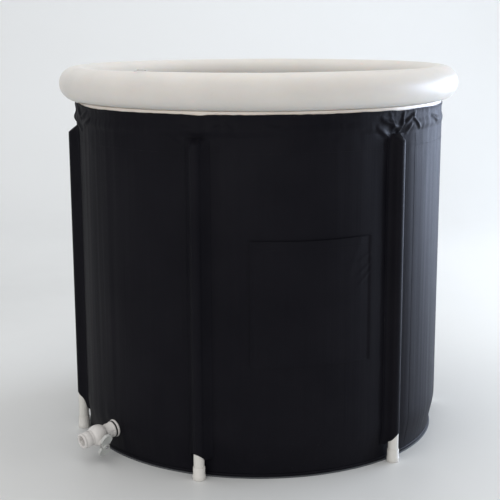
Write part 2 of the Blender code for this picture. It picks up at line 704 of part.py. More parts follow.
def build_bulkhead():
    """The fitting through the wall: flange outside, threaded tail inside, gaskets and nut."""
    inner_gasket = -WALL_THROUGH - FIT_GAP
    nut_face = inner_gasket - GASKET_THICKNESS - FIT_GAP
    tail_end = nut_face - NUT_THICKNESS - TAIL_PAST_NUT
    chamfered = FLANGE_RADIUS - FLANGE_CHAMFER
    profile = [(SPIGOT_RADIUS, SPIGOT_END), (SPIGOT_RADIUS, FLANGE_FACE)]
    profile += [(chamfered, FLANGE_FACE), (FLANGE_RADIUS, FLANGE_FACE - FLANGE_CHAMFER)]
    profile += [(FLANGE_RADIUS, FIT_GAP), (TAIL_RADIUS, FIT_GAP), (TAIL_RADIUS, tail_end)]
    profile += [(PORT_RADIUS, tail_end), (PORT_RADIUS, SPIGOT_END)]
    turned("drain_bulkhead", profile, FITTING_SIDES, VALVE_PLASTIC, DRAIN)

    gap_outer = SPIGOT_RADIUS + FIT_GAP
    outer = ring_profile(GASKET_RADIUS, gap_outer, GASKET_PLACE, GASKET_PLACE + GASKET_THICKNESS)
    turned("outer_gasket", outer, FITTING_SIDES, RUBBER, DRAIN)
    bore = TAIL_RADIUS + FIT_GAP
    inner = ring_profile(GASKET_RADIUS, bore, inner_gasket - GASKET_THICKNESS, inner_gasket)
    turned("inner_gasket", inner, FITTING_SIDES, RUBBER, DRAIN)

    hexagon = cylinder_profile(NUT_RADIUS, nut_face - NUT_THICKNESS, nut_face)
    nut = turned("drain_nut", hexagon, NUT_SIDES, VALVE_PLASTIC, DRAIN, closed=False)
    low = nut_face - NUT_THICKNESS - CUT_OVERRUN
    hole = cylinder_profile(bore, low, nut_face + CUT_OVERRUN)
    cut(nut, turned("nut_bore", hole, FITTING_SIDES, None, DRAIN, closed=False))


def build_valve_body():
    """The moulded body: rim, inlet, barrel round the ball, and the boss that the stem turns in."""
    arc = []
    shoulder = HOUSING_SHOULDER_SHARE * math.pi / 2
    for i in range(BODY_ARC_STEPS + 1):
        angle = math.pi - shoulder - i * (math.pi - 2 * shoulder) / BODY_ARC_STEPS
        along = BALL_PLACE + HOUSING_HALF_LENGTH * math.cos(angle)
        arc.append((HOUSING_RADIUS * math.sin(angle) ** 0.5, along))
    arc = [(max(radius, INLET_RADIUS), along) for radius, along in arc]
    rim_end = BODY_START + BODY_RIM_THICKNESS
    outside = [(BODY_RIM_RADIUS, BODY_START), (BODY_RIM_RADIUS, rim_end), (INLET_RADIUS, rim_end)]
    outside += arc + [(OUTLET_RADIUS, BODY_END)]
    seat_back = BALL_PLACE - SEAT_BACK - FIT_GAP
    socket = SPIGOT_RADIUS + FIT_GAP
    stop = SPIGOT_END + FIT_GAP
    inside = [(socket, BODY_START), (socket, stop), (PORT_RADIUS, stop)]
    inside += [(PORT_RADIUS, seat_back), (CAVITY_RADIUS, seat_back), (CAVITY_RADIUS, BODY_END)]
    body = turned("drain_body", outside[::-1] + inside, FITTING_SIDES, VALVE_PLASTIC, DRAIN)

    boss = cylinder_profile(BOSS_RADIUS, CAVITY_RADIUS + HOUSING_WALL / 2, BOSS_TOP)
    join(body, turned("stem_boss", boss, FITTING_SIDES, None, STEM, closed=False))
    shoulder_room = SHOULDER_TOP + FIT_GAP
    seal_low = BOSS_TOP - SEAL_THICKNESS - FIT_GAP
    wide = SHOULDER_RADIUS + FIT_GAP
    bore = [(0.0, BOSS_TOP + CUT_OVERRUN), (SEAL_RADIUS + FIT_GAP, BOSS_TOP + CUT_OVERRUN)]
    bore += [(SEAL_RADIUS + FIT_GAP, seal_low), (STEM_RADIUS + FIT_GAP, seal_low)]
    bore += [(STEM_RADIUS + FIT_GAP, shoulder_room), (wide, shoulder_room)]
    bore += [(wide, CAVITY_RADIUS - CUT_OVERRUN), (0.0, CAVITY_RADIUS - CUT_OVERRUN)]
    cut(body, turned("stem_bore", bore, FITTING_SIDES, None, STEM, closed=False))
    seal = ring_profile(SEAL_RADIUS, STEM_RADIUS + FIT_GAP, seal_low + FIT_GAP, BOSS_TOP)
    turned("stem_seal", seal, FITTING_SIDES, RUBBER, STEM)


def build_outlet():
    """The outlet, screwed into the body behind the ball, with a threaded socket for a hose."""
    spigot = CAVITY_RADIUS - FIT_GAP
    start = BALL_PLACE + SEAT_BACK + FIT_GAP
    face = BODY_END + FIT_GAP
    socket = OUTLET_END - SOCKET_DEPTH
    profile = [(OUTLET_RADIUS - OUTLET_LIP, OUTLET_END)]
    profile += [(OUTLET_RADIUS, OUTLET_END - OUTLET_LIP), (OUTLET_RADIUS, face), (spigot, face)]
    profile += [(spigot, start), (PORT_RADIUS, start), (PORT_RADIUS, socket)]
    profile += [(SOCKET_RADIUS, socket), (SOCKET_RADIUS, OUTLET_END)]
    turned("drain_outlet", profile, FITTING_SIDES, VALVE_PLASTIC, DRAIN)


def build_seats():
    """Two rings whose hollow faces follow the ball, one on each side of it."""
    reach = BALL_RADIUS + FIT_GAP
    start = math.asin(SEAT_BORE / reach)
    end = math.acos(SEAT_LIP / reach)
    angles = [start + i * (end - start) / SEAT_ARC_STEPS for i in range(SEAT_ARC_STEPS + 1)]
    hollow = [(reach * math.sin(a), reach * math.cos(a)) for a in angles]
    outer = CAVITY_RADIUS - FIT_GAP
    back = [(outer, SEAT_LIP), (outer, SEAT_BACK), (SEAT_BORE, SEAT_BACK)]
    for name, side in (("inlet_seat", -1), ("outlet_seat", 1)):
        profile = [(radius, BALL_PLACE + side * along) for radius, along in hollow + back]
        if side > 0:
            profile.reverse()
        turned(name, profile, FITTING_SIDES, SEAT_PLASTIC, DRAIN)


def build_ball():
    """The ball with its bore, which lies across the pipe while the drain is shut."""
    mesh = bpy.data.meshes.new("drain_ball")
    shape = bmesh.new()
    bmesh.ops.create_uvsphere(
        shape, u_segments=FITTING_SIDES, v_segments=BALL_RINGS, radius=BALL_RADIUS
    )
    shape.to_mesh(mesh)
    shape.free()
    mesh.shade_smooth()
    ball = place("drain_ball", mesh, SEAT_PLASTIC, STEM)
    far = BALL_RADIUS + CUT_OVERRUN
    bore = turned("ball_bore", cylinder_profile(PORT_RADIUS, -far, far), FITTING_SIDES, closed=False)
    bore.parent = STEM
    bore.rotation_euler = (math.pi / 2, 0.0, 0.0)
    cut(ball, bore)
    bottom = SHOULDER_BOTTOM - TANG_DEPTH - FIT_GAP
    half = TANG_WIDTH / 2 + FIT_GAP
    slot = block("ball_slot", (-far, -half, bottom), (far, half, far), None, STEM)
    cut(ball, slot)


def build_stem():
    """The stem: a tang in the ball's slot, a shoulder that the boss holds, and the spindle."""
    spindle = [(0.0, HANDLE_TOP), (STEM_RADIUS, HANDLE_TOP), (STEM_RADIUS, SHOULDER_TOP)]
    spindle += [(SHOULDER_RADIUS, SHOULDER_TOP), (SHOULDER_RADIUS, SHOULDER_BOTTOM)]
    spindle += [(0.0, SHOULDER_BOTTOM)]
    stem = turned("drain_stem", spindle, FITTING_SIDES, SEAT_PLASTIC, STEM, closed=False)
    half = TANG_WIDTH / 2
    low = (-TANG_LENGTH / 2, -half, SHOULDER_BOTTOM - TANG_DEPTH)
    high = (TANG_LENGTH / 2, half, SHOULDER_BOTTOM + SHOULDER_HEIGHT / 2)
    join(stem, block("stem_tang", low, high, None, STEM))
    bottom = HANDLE_TOP - SCREW_LENGTH - FIT_GAP
    hole = cylinder_profile(SCREW_RADIUS + FIT_GAP, bottom, HANDLE_TOP + CUT_OVERRUN)
    cut(stem, turned("screw_bore", hole, FITTING_SIDES, None, STEM, closed=False))


def lobe_outline():
    """The butterfly's outline: a narrow waist at the hub and two round lobes across the pipe."""
    quarter = []
    first, last = LOBE_SWELL_SHARES
    for i in range(LOBE_POINTS + 1):
        angle = math.pi / 2 * i / LOBE_POINTS
        reach = math.sin(angle)
        swell = math.sin(math.pi * (first + (last - first) * reach)) ** 2
        width = LOBE_WAIST + (LOBE_HALF_WIDTH - LOBE_WAIST) * swell
        quarter.append((width * math.cos(angle) ** LOBE_ROUNDING, LOBE_HALF_LENGTH * reach))
    right = [(w, -a) for w, a in quarter[:0:-1]] + quarter
    left = [(-w, -a) for w, a in right[1:-1]]
    return right + left


def build_handle():
    """The butterfly handle, moulded with its hub, and the screw that holds it on the stem."""
    outline = lobe_outline()
    curve = bpy.data.curves.new("lobe_outline", "CURVE")
    curve.dimensions = "2D"
    curve.fill_mode = "BOTH"
    curve.extrude = LOBE_THICKNESS / 2
    line = curve.splines.new("POLY")
    line.points.add(len(outline) - 1)
    for point, (across, along) in zip(line.points, outline):
        point.co = (across, along, 0.0, 1.0)
    line.use_cyclic_u = True
    flat = bpy.data.objects.new("lobe_outline", curve)
    CUTTERS.objects.link(flat)
    graph = bpy.context.evaluated_depsgraph_get()
    mesh = bpy.data.meshes.new_from_object(flat.evaluated_get(graph))
    bpy.data.objects.remove(flat, do_unlink=True)
    shape = bmesh.new()
    shape.from_mesh(mesh)
    bmesh.ops.remove_doubles(shape, verts=shape.verts, dist=MERGE_DISTANCE)
    shape.to_mesh(mesh)
    shape.free()
    middle = HANDLE_START + LOBE_RAISE + LOBE_THICKNESS / 2
    handle = place("drain_handle", mesh, HANDLE_PLASTIC, STEM)
    handle.location = (0.0, 0.0, middle)
    edge = handle.modifiers.new("edge", "BEVEL")
    edge.width = LOBE_CHAMFER
    edge.limit_method = "ANGLE"
    edge.angle_limit = SMOOTH_ANGLE
    hub = cylinder_profile(HUB_RADIUS, HANDLE_START, HANDLE_TOP)
    join(handle, turned("handle_hub", hub, FITTING_SIDES, None, STEM, closed=False))
    far = HANDLE_TOP + CUT_OVERRUN
    hole = cylinder_profile(STEM_RADIUS + FIT_GAP, HANDLE_START - CUT_OVERRUN, far)
    cut(handle, turned("handle_bore", hole, FITTING_SIDES, None, STEM, closed=False))

    seat = HANDLE_TOP + FIT_GAP
    screw = [(0.0, seat + SCREW_HEAD_HEIGHT), (SCREW_HEAD_RADIUS, seat + SCREW_HEAD_HEIGHT)]
    screw += [(SCREW_HEAD_RADIUS, seat), (SCREW_RADIUS, seat)]
    screw += [(SCREW_RADIUS, HANDLE_TOP - SCREW_LENGTH), (0.0, HANDLE_TOP - SCREW_LENGTH)]
    turned("handle_screw", screw, FITTING_SIDES, STEEL, STEM, closed=False)


def build_tub():
    build_base_sheet()
    build_bottom_piping()
    build_floor_foam()
    build_wall_foam()
    build_side_cover()
    build_inner_liner()
    build_gathered_band()
    build_ring_strip()
    build_air_ring()
    build_air_valve()
    build_poles()
    build_front_pocket()
    build_bulkhead()
    build_valve_body()
    build_outlet()
    build_seats()
    build_ball()
    build_stem()
    build_handle()


build_tub()
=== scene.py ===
import math
import random

import bmesh
import bpy
from mathutils import Matrix, Vector, noise


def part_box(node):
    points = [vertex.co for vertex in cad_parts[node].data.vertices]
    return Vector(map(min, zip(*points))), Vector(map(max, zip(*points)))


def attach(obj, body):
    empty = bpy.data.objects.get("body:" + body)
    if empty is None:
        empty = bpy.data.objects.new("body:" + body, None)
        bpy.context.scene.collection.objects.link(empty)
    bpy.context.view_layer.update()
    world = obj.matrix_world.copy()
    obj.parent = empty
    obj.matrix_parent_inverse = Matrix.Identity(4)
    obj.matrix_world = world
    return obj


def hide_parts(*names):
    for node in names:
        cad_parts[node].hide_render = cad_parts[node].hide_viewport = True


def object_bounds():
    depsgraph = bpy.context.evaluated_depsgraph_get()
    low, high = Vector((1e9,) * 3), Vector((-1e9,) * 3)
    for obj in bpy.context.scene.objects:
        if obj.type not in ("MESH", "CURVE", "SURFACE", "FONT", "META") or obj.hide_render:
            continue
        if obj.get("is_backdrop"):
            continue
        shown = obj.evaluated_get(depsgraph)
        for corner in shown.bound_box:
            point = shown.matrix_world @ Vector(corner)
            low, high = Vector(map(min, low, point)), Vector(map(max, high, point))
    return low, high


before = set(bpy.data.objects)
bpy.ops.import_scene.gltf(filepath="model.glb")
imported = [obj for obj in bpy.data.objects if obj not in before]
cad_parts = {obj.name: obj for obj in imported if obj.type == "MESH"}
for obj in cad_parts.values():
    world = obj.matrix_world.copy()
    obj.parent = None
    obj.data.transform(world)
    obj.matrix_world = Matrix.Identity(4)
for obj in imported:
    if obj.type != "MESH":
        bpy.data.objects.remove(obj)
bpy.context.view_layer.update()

scene = bpy.context.scene

# Camera: eye height a little above the ring, looking slightly down at the tub's front.
# The lens and tilt are those that put the ring, the seam and the feet where they are seen.
eye = bpy.data.cameras.new("camera")
eye.sensor_width = 36.0
eye.lens = 81.723
eye.clip_end = 60.0
camera = bpy.data.objects.new("camera", eye)
scene.collection.objects.link(camera)
camera.matrix_world = (
    Matrix.Translation((-0.0186, -2.35, 0.8356))
    @ Matrix.Rotation(math.radians(90 - 11.417), 4, "X")
    @ Matrix.Rotation(math.radians(-0.263), 4, "Z")
)
scene.camera = camera

# Base sheet: the grey coated sheet that the tub stands on, welded to the foot of the cover.
# Its edge is cut 2.5 mm past the cover and shows as a thin grey line below the piping.


def radial(azimuth):
    return Vector((math.sin(azimuth), -math.cos(azimuth), 0.0))


def tangent(azimuth):
    return Vector((math.cos(azimuth), math.sin(azimuth), 0.0))


def gate(value, low, high):
    """0 below low, 1 above high, and a smooth step between."""
    share = min(max((value - low) / (high - low), 0.0), 1.0)
    return share * share * (3 - 2 * share)


def finish_piece(shape, name, material, body, sharp=40):
    """The mesh being edited as a shaded piece that rides on a body."""
    bmesh.ops.recalc_face_normals(shape, faces=shape.faces)
    shape.edges.index_update()
    rim = [edge.index for edge in shape.edges if edge.is_boundary]
    mesh = bpy.data.meshes.new(name)
    shape.to_mesh(mesh)
    shape.free()
    mesh.shade_smooth()
    mesh.set_sharp_from_angle(angle=math.radians(sharp))
    for number in rim:
        mesh.edges[number].use_edge_sharp = True
    mesh.materials.append(material)
    piece = bpy.data.objects.new(name, mesh)
    scene.collection.objects.link(piece)
    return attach(piece, body)


def lathe(shape, outline, steps, frame_matrix=Matrix.Identity(4), closed=False):
    """Adds (radius, height) points spun round a frame's Z axis to the mesh being edited."""
    spun = bmesh.new()
    points = [spun.verts.new((radius, 0.0, height)) for radius, height in outline]
    pairs = list(zip(points, points[1:])) + ([(points[-1], points[0])] if closed else [])
    edges = [spun.edges.new(pair) for pair in pairs]
    bmesh.ops.spin(
        spun, geom=points + edges, cent=(0, 0, 0), axis=(0, 0, 1), angle=2 * math.pi,
        steps=steps, use_merge=True,
    )
    bmesh.ops.remove_doubles(spun, verts=spun.verts, dist=0.000002)
    bmesh.ops.transform(spun, matrix=frame_matrix, verts=spun.verts)
    add_shape(shape, spun)


def add_shape(shape, other):
    """Moves another mesh being edited into this one."""
    carried = bpy.data.meshes.new("carried")
    other.to_mesh(carried)
    other.free()
    shape.from_mesh(carried)
    bpy.data.meshes.remove(carried)


def new_group(name, sockets_in, sockets_out):
    """An empty node group with its inputs and outputs, and its two ends."""
    group = bpy.data.node_groups.new(name, "ShaderNodeTree")
    for label, kind in sockets_in:
        group.interface.new_socket(label, in_out="INPUT", socket_type=kind)
    for label, kind in sockets_out:
        group.interface.new_socket(label, in_out="OUTPUT", socket_type=kind)
    return group, group.nodes.new("NodeGroupInput"), group.nodes.new("NodeGroupOutput")


def math_node(tree, operation, first, second=None, third=None):
    """A math node fed by sockets or numbers; gives its output socket."""
    node = tree.nodes.new("ShaderNodeMath")
    node.operation = operation
    for slot, value in zip(node.inputs, (first, second, third)):
        if isinstance(value, bpy.types.NodeSocket):
            tree.links.new(value, slot)
        elif value is not None:
            slot.default_value = value
    return node.outputs[0]


def noise_node(tree, vector, scale, detail=3.0, roughness=0.55):
    node = tree.nodes.new("ShaderNodeTexNoise")
    node.inputs["Scale"].default_value = scale
    node.inputs["Detail"].default_value = detail
    node.inputs["Roughness"].default_value = roughness
    tree.links.new(vector, node.inputs["Vector"])
    return node.outputs["Fac"]


def stretch_node(tree, vector, x, y, z):
    """Scales a position along its axes."""
    node = tree.nodes.new("ShaderNodeVectorMath")
    node.operation = "MULTIPLY"
    tree.links.new(vector, node.inputs[0])
    node.inputs[1].default_value = (x, y, z)
    return node.outputs[0]


def span_node(tree, value, low, high, to_low, to_high):
    """Maps a value from one span to another, clamped."""
    node = tree.nodes.new("ShaderNodeMapRange")
    tree.links.new(value, node.inputs["Value"])
    for label, number in zip(("From Min", "From Max", "To Min", "To Max"), (low, high, to_low, to_high)):
        node.inputs[label].default_value = number
    return node.outputs["Result"]


# Moulded or coated surface: fine grain, soft mottling and dust that settles on it.
GRAIN, grain_in, grain_out = new_group(
    "surface_grain",
    [("Position", "NodeSocketVector"), ("Grain Scale", "NodeSocketFloat")],
    [("Height", "NodeSocketFloat"), ("Mottle", "NodeSocketFloat"), ("Dust", "NodeSocketFloat")],
)
fine = noise_node(GRAIN, grain_in.outputs["Position"], 900.0, 2.0)
GRAIN.links.new(grain_in.outputs["Grain Scale"], GRAIN.nodes[-1].inputs["Scale"])
broad = noise_node(GRAIN, grain_in.outputs["Position"], 14.0, 5.0)
specks = noise_node(GRAIN, grain_in.outputs["Position"], 260.0, 4.0, 0.7)
GRAIN.links.new(math_node(GRAIN, "ADD", fine, math_node(GRAIN, "MULTIPLY", specks, 0.4)), grain_out.inputs["Height"])
GRAIN.links.new(span_node(GRAIN, broad, 0.3, 0.7, 0.0, 1.0), grain_out.inputs["Mottle"])
speckled = span_node(GRAIN, specks, 0.56, 0.72, 0.0, 1.0)
patchy = span_node(GRAIN, broad, 0.45, 0.7, 0.0, 1.0)
GRAIN.links.new(math_node(GRAIN, "MULTIPLY", speckled, patchy), grain_out.inputs["Dust"])


def mix_node(tree, share, first, second):
    """Mixes two colours by a share."""
    node = tree.nodes.new("ShaderNodeMix")
    node.data_type = "RGBA"
    tree.links.new(share, node.inputs["Factor"])
    for slot, value in ((node.inputs["A"], first), (node.inputs["B"], second)):
        if isinstance(value, bpy.types.NodeSocket):
            tree.links.new(value, slot)
        else:
            slot.default_value = (*value, 1.0)
    return node.outputs["Result"]


def new_surface(name, roughness, **constants):
    """A new material with its shader's plain values set; gives it, its tree and its shader."""
    made = bpy.data.materials.new(name)
    made.use_nodes = True
    tree = made.node_tree
    shader = tree.nodes["Principled BSDF"]
    shader.inputs["Roughness"].default_value = roughness
    for label, value in constants.items():
        shader.inputs[label.replace("_", " ")].default_value = value
    return made, tree, shader


def bump(tree, shader, height, strength, distance):
    """Feeds a height to the shader as relief, on top of the relief it has already."""
    node = tree.nodes.new("ShaderNodeBump")
    node.inputs["Strength"].default_value = strength
    node.inputs["Distance"].default_value = distance
    tree.links.new(height, node.inputs["Height"])
    if shader.inputs["Normal"].is_linked:
        tree.links.new(shader.inputs["Normal"].links[0].from_socket, node.inputs["Normal"])
    tree.links.new(node.outputs["Normal"], shader.inputs["Normal"])


def grained(name, colour, shade, roughness, grain=900.0, strength=0.15, dust=(0.5, 0.48, 0.45), **constants):
    """A moulded or coated material: two close shades, fine grain, uneven gloss and a little dust."""
    made, tree, shader = new_surface(name, roughness, **constants)
    position = tree.nodes.new("ShaderNodeTexCoord").outputs["Object"]
    group = tree.nodes.new("ShaderNodeGroup")
    group.node_tree = GRAIN
    group.inputs["Grain Scale"].default_value = grain
    tree.links.new(position, group.inputs["Position"])
    tone = mix_node(tree, group.outputs["Mottle"], colour, shade)
    faint = math_node(tree, "MULTIPLY", group.outputs["Dust"], 0.25)
    tree.links.new(mix_node(tree, faint, tone, dust), shader.inputs["Base Color"])
    gloss = span_node(tree, group.outputs["Mottle"], 0.0, 1.0, roughness - 0.05, roughness + 0.06)
    dulled = math_node(tree, "MULTIPLY", group.outputs["Dust"], 0.2)
    tree.links.new(math_node(tree, "ADD", gloss, dulled), shader.inputs["Roughness"])
    bump(tree, shader, group.outputs["Height"], strength, 0.0002)
    return made


base_surface = grained("base_sheet_surface", (0.085, 0.09, 0.098), (0.06, 0.065, 0.072), 0.6, 500.0, 0.3)
shape = bmesh.new()
edge = 0.36502
lathe(
    shape,
    [(0.0, 0.0025), (edge - 0.0008, 0.0025), (edge - 0.0002, 0.0022), (edge, 0.00125),
     (edge - 0.0002, 0.0003), (edge - 0.0008, 0.0), (0.0, 0.0)],
    240,
)
base_sheet = finish_piece(shape, "base_sheet_round", base_surface, "tub")
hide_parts("base_sheet")

# Soft wall: cover, foam and liner follow one surface. It tapers in over its lowest 7 cm, lies flat
# under the drain's flange, is pressed in a little by each pole and billows between them. The two
# poles at the sides stand closest, as in the photograph.
WALL_RADIUS = 0.372
FIRST_POLE = -17.5
POLE_AZIMUTHS = [math.radians(FIRST_POLE + 60 * i) for i in range(6)]
POLE_PLACE = 0.3823
POLE_RADII = [POLE_PLACE, 0.3783, POLE_PLACE, POLE_PLACE, POLE_PLACE, 0.3773]
DRAIN_AZIMUTH = math.radians(-50.5)
dice = random.Random(7)

# Drag lines of the loose cloth at the top of a pole: from and to as (along the wall, height),
# width and height of the fold. The first set is the deep one at the right front pole.
DEEP_FOLDS = [
    (0.0087, 0.6363, 0.0194, 0.6687, 0.0042, 0.0042),
    (0.0201, 0.6484, 0.0553, 0.6664, 0.0040, 0.0040),
    (0.0485, 0.6613, 0.0714, 0.6391, 0.0036, 0.0036),
    (-0.0393, 0.6594, 0.0028, 0.6422, 0.0046, 0.0038),
    (-0.0486, 0.6436, -0.0157, 0.6234, 0.0050, 0.0036),
    (-0.0100, 0.6400, -0.0170, 0.6680, 0.0044, 0.0022),
    (0.0300, 0.6330, 0.0420, 0.6500, 0.0046, 0.0024),
    (0.1313, 0.6573, 0.1593, 0.6474, 0.0050, 0.0034),
]
LEFT_FOLDS = [
    (0.0327, 0.6758, 0.0662, 0.6529, 0.0042, 0.0038),
    (0.0270, 0.6499, 0.0630, 0.6294, 0.0046, 0.0034),
    (0.0720, 0.6560, 0.0980, 0.6650, 0.0042, 0.0030),
    (0.0850, 0.6400, 0.1120, 0.6520, 0.0050, 0.0024),
    (-0.0200, 0.6420, 0.0120, 0.6640, 0.0046, 0.0030),
]
FOLD_SETS = []
for number in range(6):
    share = (0.30, 0.88, 0.7, 0.6, 0.7, 0.9)[number]
    folds = []
    for s0, z0, s1, z1, width, height in LEFT_FOLDS if number == 5 else DEEP_FOLDS:
        mirror = -1 if number == 3 else 1
        slide, lift = (0.0, 0.0) if number in (1, 5) else (dice.uniform(-0.012, 0.012), dice.uniform(-0.004, 0.004))
        folds.append((mirror * s0 + slide, z0 + lift, mirror * s1 + slide * 0.3, z1 + lift, width, share * height))
    FOLD_SETS.append(folds)


def from_pole(azimuth):
    """The nearest pole's number, and how far along the wall an azimuth is from it."""
    turn = (math.degrees(azimuth) - FIRST_POLE + 30) % 360
    return int(turn // 60) % 6, math.radians(turn % 60 - 30) * WALL_RADIUS


def fold_rise(azimuth, height):
    """How far the drag lines lift the cloth here."""
    number, along = from_pole(azimuth)
    rise = 0.0
    for s0, z0, s1, z1, width, lift in FOLD_SETS[number]:
        run, climb = s1 - s0, z1 - z0
        share = ((along - s0) * run + (height - z0) * climb) / (run * run + climb * climb)
        held = min(max(share, 0.0), 1.0)
        off = math.hypot(along - s0 - held * run, height - z0 - held * climb)
        if off < 4 * width:
            side = (along - s0) * climb - (height - z0) * run
            reach = width * (0.75 if side > 0 else 1.15)
            body = 0.55 + 0.45 * math.sin(math.pi * held)
            crest = math.exp(-((off / reach) ** 2))
            valley = 0.17 * math.exp(-(((off - 1.9 * reach) / reach) ** 2))
            rise += lift * body * (crest - valley)
    return rise


def wall_at(azimuth, height, depth=0.0):
    """Radius of the wall's surface at a depth inside the cover."""
    share = min(max((height - 0.0091) / 0.0689, 0.0), 1.0)
    off_drain = (azimuth - DRAIN_AZIMUTH + math.pi) % (2 * math.pi) - math.pi
    near = 1 - gate(abs(off_drain) * WALL_RADIUS, 0.026, 0.06)
    smooth = share * share * (3 - 2 * share)
    taper = share * near + smooth * (1 - near) if height < 0.1 else 1.0
    radius = 0.36251 + 0.00898 * taper
    if abs(off_drain) < 0.09:
        flat_share = (1 - gate(abs(off_drain), 0.052, 0.09)) * (1 - gate(height, 0.085, 0.12))
        radius += radius * (1 / math.cos(off_drain) - 1) * flat_share
    calm = (1 - near * (1 - gate(height, 0.09, 0.14))) * gate(height, 0.009, 0.06)
    number, along = from_pole(azimuth)
    upper = gate(height, 0.55, 0.62)
    pressed = 0.0020 + POLE_PLACE - POLE_RADII[number]
    radius -= pressed * math.exp(-((along / 0.026) ** 2)) * calm * (1 - 0.5 * upper)
    radius += 0.0012 * calm * (1 - math.exp(-((along / 0.06) ** 2)))
    across, deep = math.sin(azimuth), math.cos(azimuth)
    radius += 0.0009 * calm * noise.noise(Vector((across * 3.0, deep * 3.0, height * 2.2)))
    radius += 0.00032 * calm * noise.noise(Vector((across * 26.0, deep * 26.0, height * 1.6 + 4.0)))
    radius += 0.0006 * upper * noise.noise(Vector((across * 16.0, deep * 16.0, height * 30.0)))
    return radius - depth


def cover_at(azimuth, height):
    """Radius of the cover's outer face, the drag lines that reach it included."""
    radius = wall_at(azimuth, height)
    if height > 0.6:
        radius += max(fold_rise(azimuth, height), -0.0003) * gate(height, 0.6, 0.625)
    return radius


def sheet_shape(columns, rows, place, wraps=False):
    """A mesh of columns and rows, placed point by point by shares from 0 to 1 each way."""
    made = bmesh.new()
    bmesh.ops.create_grid(made, x_segments=columns, y_segments=rows, size=1.0)
    for vert in made.verts:
        vert.co = place(
            round((vert.co.x + 1) / 2 * columns) / columns, round((vert.co.y + 1) / 2 * rows) / rows
        )
    if wraps:
        bmesh.ops.remove_doubles(made, verts=made.verts, dist=0.000002)
    return made


def thicken(piece, thickness, offset=-1.0):
    wall = piece.modifiers.new("thickness", "SOLIDIFY")
    wall.thickness = thickness
    wall.offset = offset
    wall.use_even_offset = True


def round_point(azimuth, radius, height):
    return radial(azimuth) * radius + Vector((0.0, 0.0, height))


# The drain's frame: its Z axis runs out along the pipe. The hole is a little wider in the layers
# inside the cover.
DRAIN = Matrix((
    (0.6008317, 0.2314854, -0.7651246, -0.2842352),
    (-0.6270529, -0.4571618, -0.63072, -0.2343055),
    (-0.4957882, 0.8587303, -0.1295237, 0.054),
    (0.0, 0.0, 0.0, 1.0),
))
COVER_HOLE, INNER_HOLE = 0.0110, 0.0112


def open_hole(made, radius):
    """Takes out the faces within a radius of the drain's axis, and rounds the edge left."""
    centre, pipe = DRAIN.translation, DRAIN.col[2].xyz

    def off(point):
        away = point - centre
        return (away - pipe * away.dot(pipe)).length

    near = [f for f in made.faces if f.calc_center_median().dot(pipe) > 0 and off(f.calc_center_median()) < radius]
    bmesh.ops.delete(made, geom=near, context="FACES")
    for vert in made.verts:
        at_rim = 0.3 * radius < off(vert.co) < 2.2 * radius and vert.co.dot(pipe) > 0
        if vert.is_boundary and at_rim and vert.co.z < 0.1:
            away = vert.co - centre
            flat = away - pipe * away.dot(pipe)
            vert.co = centre + pipe * away.dot(pipe) + flat.normalized() * radius


# Wall foam: 5 mm pearl foam between cover and liner, out of sight, with the drain's hole in it.
foam_surface = grained("pearl_foam_surface", (0.78, 0.79, 0.8), (0.7, 0.71, 0.72), 0.9, 240.0, 0.5)


def foam_point(u, v):
    azimuth, height = u * 2 * math.pi, 0.0092 + v * 0.6234
    return round_point(azimuth, wall_at(azimuth, height, 0.0014), height)


shape = sheet_shape(240, 40, foam_point, wraps=True)
open_hole(shape, INNER_HOLE)
wall_foam = finish_piece(shape, "wall_foam_sheet", foam_surface, "tub")
thicken(wall_foam, 0.0048)
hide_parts("wall_foam")

# Floor foam: a 10 mm round pad that lies loose between the base sheet and the liner.
shape = bmesh.new()
lathe(
    shape,
    [(0.0, 0.0128), (0.3520, 0.0128), (0.3548, 0.0121), (0.3556, 0.0100), (0.3556, 0.0056),
     (0.3548, 0.0035), (0.3520, 0.0028), (0.0, 0.0028)],
    180,
)
floor_foam = finish_piece(shape, "floor_foam_pad", foam_surface, "tub")
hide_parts("floor_foam")

# Inner liner: the white coated pot that holds the water. It hangs from the ring's strip above the
# foam; its floor and wall are welded along a flat seam, and the wall has one upright weld.
liner_surface = grained(
    "liner_surface", (0.72, 0.71, 0.69), (0.66, 0.65, 0.63), 0.38, 1400.0, 0.1, Specular_IOR_Level=0.5,
)


def liner_point(u, v):
    azimuth = u * 2 * math.pi
    if v <= 0.35:
        share = v / 0.35
        radius = 0.3535 * share
        sag = 0.0006 * noise.noise(Vector((radius * math.sin(azimuth) * 22, radius * math.cos(azimuth) * 22, 1.0)))
        return round_point(azimuth, radius, 0.0134 + sag * math.sin(math.pi * share))
    rise = (v - 0.35) / 0.65
    height = 0.0152 + rise * (0.6718 - 0.0152)
    radius = wall_at(azimuth, min(height, 0.632), 0.0067)
    lean = gate(height, 0.634, 0.655)
    radius += (0.36955 - radius) * lean
    crease = noise.noise(Vector((math.sin(azimuth) * 9, math.cos(azimuth) * 9, height * 7 + 2)))
    radius -= 0.0022 * max(crease, 0.0) * gate(height, 0.12, 0.25) * (1 - lean)
    return round_point(azimuth, radius, height)


shape = sheet_shape(360, 100, liner_point, wraps=True)
open_hole(shape, INNER_HOLE)
liner = finish_piece(shape, "inner_liner_pot", liner_surface, "tub", 180)
thicken(liner, 0.0008)
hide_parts("inner_liner")

